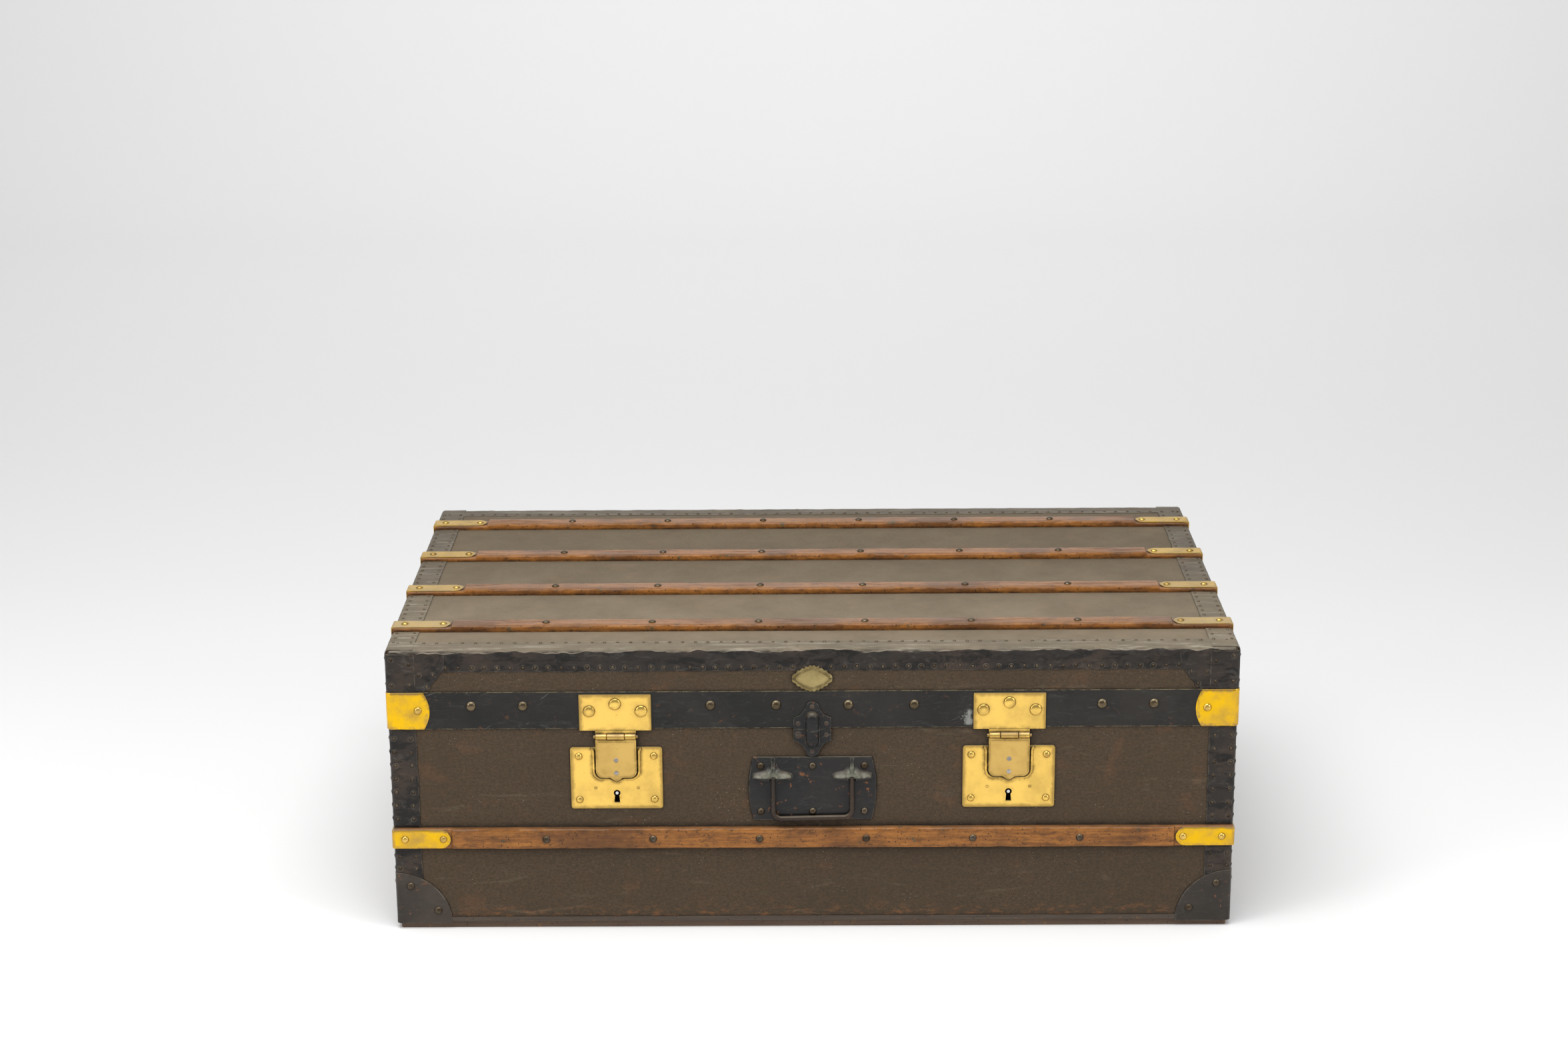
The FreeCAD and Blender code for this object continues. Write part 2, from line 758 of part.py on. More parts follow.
def body_canvas():
    """Canvas glued round the four sides of the body, open where the lock cases pass."""
    skin = ring(-canvas_thickness, canvas_thickness, base_thickness, body_top)
    for mouth in case_openings(case_gap):
        skin = skin.cut(mouth)
    return skin


def lining_walls(z0, z1):
    """Four thin paper panels pasted on the inside of the boards."""
    panels = []
    for way in (-1, 1):
        y_ends = sorted((way * inner_half_y, way * lined_half_y))
        panels.append(block(-inner_half_x, inner_half_x, y_ends[0], y_ends[1], z0, z1))
        x_ends = sorted((way * inner_half_x, way * lined_half_x))
        panels.append(block(x_ends[0], x_ends[1], -lined_half_y, lined_half_y, z0, z1))
    return panels


def body_lining():
    """Lining paper on the floor and walls of the body."""
    floor_top = base_thickness + lining_thickness
    floor = block(-inner_half_x, inner_half_x, -inner_half_y, inner_half_y, base_thickness, floor_top)
    return [floor] + lining_walls(floor_top, body_top)


# Sizes of the rim lip, the ledges and the lift-out tray
lip_thickness = 5.0
lip_stand = 8.0
lip_depth = 40.0
lip_clearance = 0.8
ledge_width = 15.0
ledge_height = 15.0
tray_height = 90.0
tray_wall = 8.0
tray_floor = 5.0
tray_clearance = 2.0
tray_grip_width = 110.0
tray_grip_drop = 20.0

tray_half_x = lined_half_x - lip_thickness - tray_clearance
tray_half_y = lined_half_y - lip_thickness - tray_clearance


def rim_lip():
    """Four strips inside the rim that stand up into the lid and keep it in line."""
    strips = []
    low = body_top - lip_depth
    high = body_top + lip_stand
    for way in (-1, 1):
        for z0, z1, back_off in ((low, body_top, 0), (body_top, high, lip_clearance)):
            y_ends = sorted((way * (lined_half_y - back_off), way * (lined_half_y - lip_thickness)))
            x_half = lined_half_x - back_off
            strips.append(block(-x_half, x_half, y_ends[0], y_ends[1], z0, z1))
            x_ends = sorted((way * (lined_half_x - back_off), way * (lined_half_x - lip_thickness)))
            y_half = lined_half_y - lip_thickness
            strips.append(block(x_ends[0], x_ends[1], -y_half, y_half, z0, z1))
    joined = []
    for lower, upper in ((0, 2), (1, 3), (4, 6), (5, 7)):
        joined.append(strips[lower].fuse(strips[upper]).removeSplitter())
    return joined


def tray_ledges():
    """A batten across each end that the tray rests on."""
    ledge = block(-lined_half_x, -lined_half_x + ledge_width, -lined_half_y, lined_half_y,
                  tray_seat - ledge_height, tray_seat)
    return both_ways(ledge)


def tray_bottom():
    """The thin floor of the tray."""
    return block(-tray_half_x, tray_half_x, -tray_half_y, tray_half_y, tray_seat, tray_seat + tray_floor)


def tray_long_walls():
    """Front and back walls of the tray."""
    low = tray_seat + tray_floor
    high = tray_seat + tray_height
    return [block(-tray_half_x, tray_half_x, -tray_half_y, -tray_half_y + tray_wall, low, high),
            block(-tray_half_x, tray_half_x, tray_half_y - tray_wall, tray_half_y, low, high)]


def tray_end_walls():
    """End walls of the tray, dipped in the middle for a hand."""
    half = tray_half_y - tray_wall
    low = tray_seat + tray_floor
    high = tray_seat + tray_height
    grip = tray_grip_width / 2
    outline = [Vector(-half, 0, low), Vector(half, 0, low), Vector(half, 0, high), Vector(grip, 0, high),
               (Vector(0, 0, high - tray_grip_drop), Vector(-grip, 0, high)), Vector(-half, 0, high)]
    wall = sheet(outline, 0, tray_wall)
    wall.rotate(ORIGIN, UPWARD, side_turns_degrees["right"])
    wall.translate(Vector(tray_half_x - tray_wall, 0, 0))
    return both_ways(wall)


# Sizes of the trunk dowel, whose halves meet at the split
dowel_half = 22.0
dowel_gap = 0.3
dowel_thickness = 1.6
dowel_shoulder = 14.5
dowel_neck_half = 8.0
dowel_neck_rise = 27.0
dowel_barrel_radius = 8.4
dowel_barrel_rise = 14.0
dowel_tongue_radius = 3.0
dowel_tongue_length = 9.0
dowel_tongue_clearance = 0.6
dowel_rivet_radius = 2.7
dowel_rivet_height = 0.9
dowel_rivet_side = 16.6
dowel_rivet_side_rise = 7.0
dowel_rivet_tip_rise = 28.0
dowel_screw_radius = 4.4
dowel_screw_slot = 1.0

# Sizes of a handle plate and its wire bail, about the plate's own middle
handle_half_ends = 70.3
handle_half_middle = 76.0
handle_thickness = 2.0
handle_stud_x = 61.5
handle_stud_upper = 28.6
handle_stud_lower = 29.3
handle_stud_radius = 4.6
handle_stud_height = 2.8
bail_half = 46.7
bail_wire_radius = 3.0
bail_pivot_up = 15.4
bail_drop = 36.4
bail_corner_radius = 9.5
bail_end = 61.0
bail_clearance = 0.15
ear_height = 7.4
ear_rise = 8.0
ear_drop = 6.2
ear_inner = 24.5
ear_outer = 70.5
ear_tip_height = 1.6
ear_tip_half = 2.6
ear_shoulder = 62.5
ear_notch_half = 4.1
ear_notch_over = 1.8
ear_ridge_top = 37.0
ear_ridge_radius = 3.6
ear_ridge_tip_radius = 0.9

dowel_level = dowel_thickness + band_thickness
dowel_axis_out = dowel_level + dowel_tongue_radius + dowel_tongue_clearance
pivot_out = handle_thickness + bail_wire_radius + seat_gap
pivot_height = handle_height + bail_pivot_up


def dowel_half_outline(way):
    """The outline of one half: upright flanks, concave shoulders and a round tip."""
    foot = dowel_split + way * dowel_gap / 2
    shoulder = dowel_split + way * dowel_shoulder
    neck = dowel_split + way * dowel_neck_rise
    tip = dowel_split + way * dowel_tip_rise
    hollow_x = dowel_neck_half + (dowel_half - dowel_neck_half) * dowel_hollow_across_share
    hollow_z = dowel_split + way * (dowel_shoulder
                                    + (dowel_neck_rise - dowel_shoulder) * dowel_hollow_up_share)
    return [Vector(-dowel_half, 0, foot), Vector(dowel_half, 0, foot), Vector(dowel_half, 0, shoulder),
            (Vector(hollow_x, 0, hollow_z), Vector(dowel_neck_half, 0, neck)),
            (Vector(0, 0, tip), Vector(-dowel_neck_half, 0, neck)),
            (Vector(-hollow_x, 0, hollow_z), Vector(-dowel_half, 0, shoulder))]


dowel_hollow_across_share = 0.40
dowel_hollow_up_share = 0.40


def dowel_barrel(way):
    """The round-ended barrel of one half, standing out of its plate."""
    sides = round(full_turn_degrees / facet_turn_degrees)
    axis = Vector(0, -dowel_level, dowel_split)
    foot = circle_points(dowel_barrel_radius, sides)
    rings = [[axis + point + UPWARD * (way * dowel_gap / 2) for point in foot]]
    for step in range(round(quarter_turn_degrees / facet_turn_degrees) + 1):
        angle = math.radians(step * facet_turn_degrees)
        rise = dowel_barrel_rise + dowel_barrel_radius * math.sin(angle)
        rings.append([axis + point * math.cos(angle) + UPWARD * (way * rise) for point in foot])
    front = block(-dowel_half, dowel_half, -dowel_level - overrun, -dowel_level, 0, trunk_height)
    return layered(rings).common(front)


def dowel_rivets(way, base, screw):
    """The rivets of one half; the lower half has a slotted screw in place of one."""
    heads = [dome_at(0, base, dowel_split + way * dowel_rivet_tip_rise,
                     dowel_rivet_radius, dowel_rivet_height),
             dome_at(dowel_rivet_side, base, dowel_split + way * dowel_rivet_side_rise,
                     dowel_rivet_radius, dowel_rivet_height)]
    side_z = dowel_split + way * dowel_rivet_side_rise
    if not screw:
        return heads + [dome_at(-dowel_rivet_side, base, side_z, dowel_rivet_radius, dowel_rivet_height)]
    head = dome_at(-dowel_rivet_side, base, side_z, dowel_screw_radius, dowel_rivet_height)
    slot = block(-dowel_rivet_side - dowel_screw_radius, -dowel_rivet_side + dowel_screw_radius,
                 -base - dowel_screw_slot, -base - dowel_screw_slot / 2,
                 side_z - dowel_screw_slot / 2, side_z + dowel_screw_slot / 2)
    return heads + [head.cut(slot)]


def dowel_tongue_rod(radius, length):
    """The rod that joins the halves, or the bore that takes it."""
    at = Vector(0, -dowel_axis_out, dowel_split - length)
    return round_bar(radius, length + dowel_shoulder, at, UPWARD)


def dowel_upper():
    """The lid's half of the dowel: plate on the band, barrel and tongue."""
    plate = sheet(dowel_half_outline(1), band_thickness, dowel_thickness)
    tongue = dowel_tongue_rod(dowel_tongue_radius, dowel_tongue_length)
    return plate.fuse([dowel_barrel(1), tongue] + dowel_rivets(1, dowel_level, False))


def dowel_lower():
    """The body's half of the dowel: thicker plate, barrel and the socket for the tongue."""
    plate = sheet(dowel_half_outline(-1), 0, dowel_level)
    socket = dowel_tongue_rod(dowel_tongue_radius + dowel_tongue_clearance,
                              dowel_tongue_length + seat_gap)
    whole = plate.fuse([dowel_barrel(-1)] + dowel_rivets(-1, dowel_level, True))
    return whole.cut(socket)


def hump_profile(x, low, high, height):
    """A rounded cross-section of an ear, upright at one place along the bail's pivot."""
    base = -handle_thickness + seat_gap
    top = -handle_thickness - height
    start = Vector(x, base, low)
    middle = Vector(x, top, (low + high) / 2)
    return [start] + chords(start, middle, Vector(x, base, high))


def ear():
    """One pressed ear: two wings that hold the bail's turned end, and a ridge above."""
    low = pivot_height - ear_drop
    high = pivot_height + ear_rise
    inner_shoulder = 2 * bail_half - ear_shoulder
    tips = [hump_profile(x, pivot_height - ear_tip_half, pivot_height + ear_tip_half, ear_tip_height)
            for x in (ear_inner, ear_outer)]
    shoulders = [hump_profile(x, low, high, ear_height) for x in (inner_shoulder, ear_shoulder)]
    points = len(shoulders[0])
    tips = [spread(tip, points) for tip in tips]
    wings = layered([tips[0]] + shoulders + [tips[1]])
    ridge_rise = handle_height + ear_ridge_top - pivot_height
    at = Vector(bail_half, -handle_thickness, pivot_height)
    foot = circle_points(1, dome_sides)
    ridge = layered([[at + point * ear_ridge_radius for point in foot],
                     [at + point * ear_ridge_tip_radius + UPWARD * ridge_rise for point in foot]])
    front_only = block(0, trunk_width, -trunk_depth, -handle_thickness / 2, 0, trunk_height)
    return wings.fuse(ridge.common(front_only))


def spread(profile, count):
    """A profile's own arc drawn again with a given number of points."""
    line = Part.makePolygon(profile)
    return line.discretize(Number=count)


def handle_plate():
    """A handle plate with bowed ends, two pressed ears and their bores for the bail."""
    low = handle_height - handle_rise / 2
    high = handle_height + handle_rise / 2
    outline = [Vector(-handle_half_ends, 0, low), Vector(handle_half_ends, 0, low),
               (Vector(handle_half_middle, 0, handle_height), Vector(handle_half_ends, 0, high)),
               Vector(-handle_half_ends, 0, high),
               (Vector(-handle_half_middle, 0, handle_height), Vector(-handle_half_ends, 0, low))]
    plate = sheet(outline, 0, handle_thickness).fuse(both_ways(ear()))
    bore_radius = bail_wire_radius + bail_clearance
    inner_end = 2 * bail_half - bail_end
    bore = round_bar(bore_radius, bail_end - inner_end + 2 * bail_clearance,
                     Vector(inner_end - bail_clearance, -pivot_out, pivot_height), RIGHTWARD)
    notch = block(bail_half - ear_notch_half, bail_half + ear_notch_half,
                  -handle_thickness - overrun, -handle_thickness, handle_height - handle_rise / 2,
                  pivot_height + bail_wire_radius + ear_notch_over)
    for cutter in both_ways(bore) + both_ways(notch):
        plate = plate.cut(cutter)
    return plate.removeSplitter()


def handle_studs():
    """Six heads that fasten a handle plate."""
    heads = []
    for x in (-handle_stud_x, 0, handle_stud_x):
        for z in (handle_height + handle_stud_upper, handle_height - handle_stud_lower):
            heads.append(dome_at(x, handle_thickness, z, handle_stud_radius, handle_stud_height))
    return heads


def bent_wire(path, radius):
    """A round wire along points in an upright plane that faces the front, mitred at each."""
    section = circle_points(radius, wire_sides)
    runs = [(far - near).normalize() for near, far in zip(path, path[1:])]
    rings = []
    for point, before, after in zip(path, runs[:1] + runs, runs + runs[-1:]):
        along = (before + after).normalize()
        across = BACKWARD.cross(along) / along.dot(before)
        rings.append([point + across * spot.x + BACKWARD * spot.y for spot in section])
    return layered(rings)


def bail():
    """The wire bail with its ends crossed by pivots that run both ways under the wings."""
    foot = handle_height - bail_drop
    bulge = bail_corner_radius * (1 - math.sqrt(half_share))
    inner = bail_half - bail_corner_radius
    at = -pivot_out
    path = [Vector(-bail_half, at, pivot_height), Vector(-bail_half, at, foot + bail_corner_radius)]
    path += chords(path[-1], Vector(-bail_half + bulge, at, foot + bulge), Vector(-inner, at, foot))
    path.append(Vector(inner, at, foot))
    path += chords(path[-1], Vector(bail_half - bulge, at, foot + bulge),
                   Vector(bail_half, at, foot + bail_corner_radius))
    path.append(Vector(bail_half, at, pivot_height))
    reach = bail_end - bail_half
    pivot = Part.makeCylinder(bail_wire_radius, 2 * reach, Vector(bail_half - reach, at, pivot_height),
                              RIGHTWARD)
    return bent_wire(path, bail_wire_radius).fuse(both_ways(pivot)).removeSplitter()


# Sizes of the stop hinges on the back
hinge_width = 70.0
hinge_leaf_rise = 34.0
hinge_leaf_thickness = 2.0
hinge_knuckle_radius = 4.0
hinge_pin_radius = 2.0
hinge_axis_out = 7.5
hinge_knuckle_gap = 0.2
hinge_sweep_gap = 0.3
hinge_leaf_radius = 6.0
hinge_knuckles = 3

hinge_axis_height = split_height - lid_gap / 2
hinge_places = (-hinge_spacing, 0, hinge_spacing)


def hinge_tube(radius, x0, x1):
    """A round piece on the hinge axis, in the side's own frame."""
    return round_bar(radius, x1 - x0, Vector(x0, -hinge_axis_out, hinge_axis_height), RIGHTWARD)


def hinge_leaf(way):
    """One leaf: the lid's has the middle knuckle (way 1), the body's the outer ones (way -1)."""
    base = band_thickness if way > 0 else 0
    knuckle_width = hinge_width / hinge_knuckles
    half = hinge_width / 2
    low, high = sorted((hinge_axis_height + way * hinge_leaf_rise, hinge_axis_height))
    round_end = plate_outline(half, min(low, high), max(low, high), hinge_leaf_radius)
    plate = sheet(round_end, base, hinge_leaf_thickness)
    square = block(-half, half, -base - hinge_leaf_thickness, -base,
                   *sorted((hinge_axis_height, hinge_axis_height + way * hinge_leaf_radius)))
    web = block(-half, half, -hinge_axis_out, -base,
                *sorted((hinge_axis_height, hinge_axis_height + way * hinge_knuckle_radius)))
    barrel = hinge_tube(hinge_knuckle_radius, -half, half)
    whole = plate.fuse([square, web, barrel])
    clear = hinge_knuckle_radius + hinge_sweep_gap
    inner_half = knuckle_width / 2
    edge = hinge_knuckle_gap / 2
    if way > 0:
        gaps = [hinge_tube(clear, -half - overrun, edge - inner_half),
                hinge_tube(clear, inner_half - edge, half + overrun)]
    else:
        gaps = [hinge_tube(clear, -inner_half - edge, inner_half + edge)]
    for gap in gaps:
        whole = whole.cut(gap)
    beyond = block(-half, half, -overrun, overrun,
                   *sorted((hinge_axis_height, hinge_axis_height - way * overrun)))
    kept = whole.cut(beyond.cut(hinge_tube(hinge_knuckle_radius, -half, half)))
    return kept.cut(hinge_tube(hinge_pin_radius + pin_clearance, -half - overrun, half + overrun))


def hinge_pin():
    """The pin through one hinge's knuckles."""
    return Part.makeCylinder(hinge_pin_radius, hinge_width,
                             Vector(-hinge_width / 2, -hinge_axis_out, hinge_axis_height), RIGHTWARD)


def at_hinges(shape):
    """A hinge piece set at every hinge on the back."""
    return [to_side(moved(shape, x), "back") for x in hinge_places]


# Sizes of the lid's outside: bindings, corner patches, band, caps and label
lid_binding_drop = 27.0
lid_binding_front = 27.5
lid_binding_end = 32.0
band_height = 46.0
band_stud_radius = 6.0
band_stud_height = 3.0
band_stud_up = 28.5
cap_reach_middle = 49.0
cap_reach_edge = 42.0
cap_thickness = 1.0
cap_stud_reach = 35.4
cap_stud_up = 23.5
cap_stud_radius = 4.8
cap_stud_height = 2.4
patch_reach_top = 69.0
patch_reach_foot = 43.5
patch_bow = 7.0
patch_foot_gap = 1.0
patch_thickness = 1.2
label_width = 51.0
label_height = 34.0
label_overlap = 1.3
label_thickness = 1.0
label_scallops = 16
label_scallop_depth = 1.6

lid_slat_rows = [number * lid_slat_pitch - lid_slat_outer for number in range(lid_slat_count)]
band_top = split_height + band_height
binding_foot = trunk_height - lid_binding_drop


def lid_block(offset, z0):
    """The lid's outside grown or shrunk by an offset, its upright and top edges rounded."""
    radius = corner_radius + offset
    half_x = half_width + offset
    half_y = half_depth + offset
    shoulder = trunk_height + offset - radius
    rings = [rounded_rectangle(half_x, half_y, radius, z0)]
    for step in range(round(quarter_turn_degrees / edge_turn_degrees) + 1):
        angle = math.radians(step * edge_turn_degrees)
        inset = radius * (1 - math.cos(angle))
        rings.append(rounded_rectangle(half_x - inset, half_y - inset, radius - inset,
                                       shoulder + radius * math.sin(angle)))
    return layered(rings)


def lid_boards():
    """The lid's five boards; the top board lies on the other four."""
    solid = lid_block(-canvas_thickness, split_height)
    whole = block(-half_width, half_width, -half_depth, half_depth, lid_board_under, trunk_height)
    top = solid.common(whole)
    rest = solid.cut(whole)
    front = rest.common(block(-half_width, half_width, -half_depth, -inner_half_y, 0, trunk_height))
    back = rest.common(block(-half_width, half_width, inner_half_y, half_depth, 0, trunk_height))
    left = block(-board_half_x, -inner_half_x, -inner_half_y, inner_half_y, split_height, lid_board_under)
    return {"top": top, "front": front, "back": back, "left": left, "right": mirror_x(left)}


def lid_canvas():
    """Canvas over the lid's top and sides."""
    outer = lid_block(0, split_height)
    return outer.cut(lid_block(-canvas_thickness, split_height - overrun))


def lid_lining():
    """Lining paper under the lid's top and on its sides."""
    ceiling_under = lid_board_under - lining_thickness
    ceiling = block(-inner_half_x, inner_half_x, -inner_half_y, inner_half_y, ceiling_under, lid_board_under)
    return [ceiling] + lining_walls(split_height, ceiling_under)


def lid_slat_zones():
    """The bands across the lid that the slats, their clamps and the clamps' legs take."""
    half = half_width + overrun
    return [block(-half, half, y - slat_width / 2, y + slat_width / 2,
                  trunk_height - clamp_leg, trunk_height + overrun) for y in lid_slat_rows]


def patch_outline(reach_half):
    """A lid corner patch seen from one side: its inner end leans out and bows."""
    foot = band_top + patch_foot_gap
    top = trunk_height + overrun
    inner_foot = reach_half - patch_reach_foot
    inner_top = reach_half - patch_reach_top
    middle = Vector((inner_foot + inner_top) / 2 + patch_bow, 0, (foot + trunk_height) / 2)
    outer = reach_half + overrun
    return [Vector(outer, 0, foot), Vector(outer, 0, top), Vector(inner_top, 0, top),
            Vector(inner_top, 0, trunk_height), (middle, Vector(inner_foot, 0, foot))]


def corner_region(outline_maker):
    """The space at the front right upright corner covered by an outline on both faces."""
    front = sheet(outline_maker(half_width), -overrun, 2 * overrun)
    front.translate(Vector(0, -half_depth, 0))
    end = sheet(outline_maker(half_depth), -overrun, 2 * overrun)
    end = end.mirror(ORIGIN, RIGHTWARD)
    end.rotate(ORIGIN, UPWARD, side_turns_degrees["right"])
    end.translate(Vector(half_width, 0, 0))
    return front.fuse(end)


def four_corners(region):
    """A front right corner space repeated at all four corners."""
    right = [region, region.mirror(ORIGIN, BACKWARD)]
    return right + [mirror_x(piece) for piece in right]


def below_top(shape):
    """What of a shape lies under the lid's top face."""
    half = half_width + overrun
    return shape.common(block(-half, half, -half, half, 0, trunk_height - corner_radius))


def lid_corner_patches():
    """Fibre patches folded round the lid's four upright corners."""
    skin = below_top(ring(0, patch_thickness, split_height, trunk_height))
    return [skin.common(region) for region in four_corners(corner_region(patch_outline))]


def lid_edge_bindings(patches):
    """Binding folded over the lid's top edges, butted to the patches and the slats."""
    skin = lid_block(binding_thickness, split_height).cut(lid_block(0, split_height - overrun))
    half = half_width + overrun
    lower = block(-half, half, -half, half, 0, binding_foot)
    inside_x = half_width - lid_binding_end
    inside_y = half_depth - lid_binding_front
    inside = block(-inside_x, inside_x, -inside_y, inside_y, 0, trunk_height + overrun)
    binding = skin.cut(lower).cut(inside)
    for piece in lid_slat_zones() + patches:
        binding = binding.cut(piece)
    return binding


def cap_outline(reach_half):
    """A band cap seen from one side: a strip of the band's height with a bowed inner end."""
    middle = Vector(reach_half - cap_reach_middle, 0, (split_height + band_top) / 2)
    inner = reach_half - cap_reach_edge
    outer = reach_half + overrun
    return [Vector(outer, 0, split_height), Vector(outer, 0, band_top), Vector(inner, 0, band_top),
            (middle, Vector(inner, 0, split_height))]


def band_caps():
    """Brass caps over the band at the four upright corners."""
    skin = ring(band_thickness, cap_thickness, split_height, band_top)
    return [skin.common(region) for region in four_corners(corner_region(cap_outline))]


def cap_studs():
    """One stud on each face of every band cap."""
    heads = []
    for side in side_turns_degrees:
        for way in (-1, 1):
            head = dome_at(way * (side_half(side) - cap_stud_reach), band_thickness + cap_thickness,
                           split_height + cap_stud_up, cap_stud_radius, cap_stud_height)
            heads.append(to_side(head, side))
    return heads


def band_studs():
    """The row of studs along the band on every side."""
    heads = []
    for side in side_turns_degrees:
        long_side = side in ("front", "back")
        for share in band_stud_shares if long_side else band_end_stud_shares:
            place = share * side_half(side)
            for way in (-1, 1):
                if side == "back" and under_hinge(way * place):
                    continue
                head = dome_at(way * place, band_thickness, split_height + band_stud_up,
                               band_stud_radius, band_stud_height)
                heads.append(to_side(head, side))
    return heads


def under_hinge(x):
    """Whether a place along the back is taken by a hinge leaf."""
    return any(abs(x - place) < hinge_width / 2 + band_stud_radius for place in hinge_places)


def label_plate():
    """The small scalloped plate above the dowel, left bare."""
    middle = band_top - label_overlap + label_height / 2
    corners = []
    count = label_scallops
    for number in range(count):
        angle = 2 * math.pi * number / count
        corners.append(label_point(angle, middle, 0))
    outline = [corners[0]]
    for number in range(count):
        angle = 2 * math.pi * (number + half_share) / count
        outline.append((label_point(angle, middle, label_scallop_depth), corners[(number + 1) % count]))
    return sheet(outline, band_thickness, label_thickness)


def label_point(angle, middle, proud):
    """A point on the label's oval, or a little outside it."""
    across = label_width / 2 - label_scallop_depth + proud
    up = label_height / 2 - label_scallop_depth + proud
    return Vector(across * math.cos(angle), 0, middle + up * math.sin(angle))


def clamp_set(shapes, places):
    """Pieces of the right-hand clamp set at both ends of a slat."""
    return flat_list([both_ways(place(shape)) for shape in shapes for place in places])


def build():
    """Model every node of the trunk and write it."""
    os.makedirs("parts", exist_ok=True)

    plates = base_corner_plates()
    boards = body_boards()
    write("bottom_board", bottom_board())
    write("body_front_board", boards["front"])
    write("body_back_board", boards["back"])
    write("body_left_board", boards["left"])
    write("body_right_board", boards["right"])
    write("body_canvas", body_canvas())
    write("body_lining", body_lining())
    write("base_strips", base_strips(plates))
    write("base_corner_plates", plates)
    write("body_corner_bindings", upright_bindings(plates))

    body_slat = raised([slat(trunk_width)], body_slat_middle)[0]
    write("body_front_slat", to_side(body_slat, "front"))
    write("body_back_slat", to_side(body_slat, "back"))
    body_places = (lambda shape: to_side(raised([shape], body_slat_middle)[0], "front"),
                   lambda shape: to_side(raised([shape], body_slat_middle)[0], "back"))
    lid_places = tuple(lambda shape, y=y: to_top(shape, y) for y in lid_slat_rows)
    write("body_slat_clamps", clamp_set([clamp()], body_places))
    nails = slat_nails()
    write("body_slat_nails", [place(nail) for nail in nails for place in body_places])
    write("body_brass_studs",
          clamp_set(clamp_studs(), body_places)
          + flat_list([at_locks(head) for head in lock_plate_heads()]))

    handle = handle_plate()
    studs = handle_studs()
    write("front_handle_plate", to_side(handle, "front"))
    write("end_handle_plates", [to_side(handle, "left"), to_side(handle, "right")])
    write("body_iron_studs",
          base_corner_studs() + [to_side(stud, side) for stud in studs
                                 for side in ("front", "left", "right")])
    wire = bail()
    write("front_bail", to_side(wire, "front"))
    write("left_bail", to_side(wire, "left"))
    write("right_bail", to_side(wire, "right"))

    for name, shape in (("lock_plate", lock_plate()), ("lock_bolt", lock_bolt()),
                        ("hasp_plate", hasp_plate()), ("hasp", hasp())):
        left, right = at_locks(shape)
        write(name + "_left", left)
        write(name + "_right", right)
    write("lock_cases", at_locks(lock_case()))
    write("hasp_pins", at_locks(hasp_pin()))
    write("dowel_upper", to_side(dowel_upper(), "front"))
    write("dowel_lower", to_side(dowel_lower(), "front"))

    write("hinge_body_leaves", at_hinges(hinge_leaf(-1)))
    write("hinge_lid_leaves", at_hinges(hinge_leaf(1)))
    write("hinge_pins", at_hinges(hinge_pin()))

    write("rim_lip", rim_lip())
    write("tray_ledges", tray_ledges())
    write("tray_bottom", tray_bottom())
    write("tray_walls", tray_long_walls() + tray_end_walls())

    lid = lid_boards()
    for name in ("top", "front", "back", "left", "right"):
        write("lid_" + name + "_board", lid[name])
    patches = lid_corner_patches()
    write("lid_canvas", lid_canvas())
    write("lid_lining", lid_lining())
    write("lid_band", ring(0, band_thickness, split_height, band_top))
    write("band_caps", band_caps())
    write("band_studs", band_studs())
    write("lid_edge_bindings", lid_edge_bindings(patches))
    write("lid_corner_patches", patches)
    write("label_plate", to_side(label_plate(), "front"))
    names = ("lid_front_slat", "lid_inner_front_slat", "lid_inner_back_slat", "lid_back_slat")
    for name, row in zip(names, lid_slat_rows):
        write(name, to_top(slat(trunk_width), row))
    write("lid_slat_clamps", clamp_set([clamp()], lid_places))
    write("lid_slat_nails", [place(nail) for nail in nails for place in lid_places])
    write("lid_brass_studs",
          clamp_set(clamp_studs(), lid_places) + cap_studs()
          + flat_list([at_locks(head) for head in hasp_plate_heads()]))


build()
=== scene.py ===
import math

import bmesh
import bpy
from bpy.props import FloatProperty, FloatVectorProperty, IntProperty, PointerProperty
from mathutils import Matrix, Vector, noise


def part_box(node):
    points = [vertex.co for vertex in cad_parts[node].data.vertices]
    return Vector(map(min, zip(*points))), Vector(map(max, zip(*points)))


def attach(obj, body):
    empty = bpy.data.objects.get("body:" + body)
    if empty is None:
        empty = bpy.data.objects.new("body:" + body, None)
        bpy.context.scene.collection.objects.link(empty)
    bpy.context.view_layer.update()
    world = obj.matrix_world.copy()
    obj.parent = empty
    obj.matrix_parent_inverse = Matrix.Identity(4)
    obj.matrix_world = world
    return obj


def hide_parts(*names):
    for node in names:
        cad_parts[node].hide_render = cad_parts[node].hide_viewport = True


bl_info = {
    "name": "Cabin trunk dresser",
    "version": (1, 0, 0),
    "blender": (4, 5, 0),
    "location": "View3D > Sidebar > Trunk",
    "description": "Dresses the frame of a flat-topped cabin trunk and sets its stage",
    "category": "Add Mesh",
}

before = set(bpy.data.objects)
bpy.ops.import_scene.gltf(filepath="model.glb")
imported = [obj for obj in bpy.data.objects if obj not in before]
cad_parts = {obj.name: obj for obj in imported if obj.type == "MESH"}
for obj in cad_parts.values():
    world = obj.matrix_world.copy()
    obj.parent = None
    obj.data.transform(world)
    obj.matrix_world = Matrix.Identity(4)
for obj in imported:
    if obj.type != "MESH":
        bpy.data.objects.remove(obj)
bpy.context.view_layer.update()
MM = 0.001


# Measures: read off the frame where it has them

def middle_of(node):
    """The middle of a node's box."""
    low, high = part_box(node)
    return (low + high) / 2


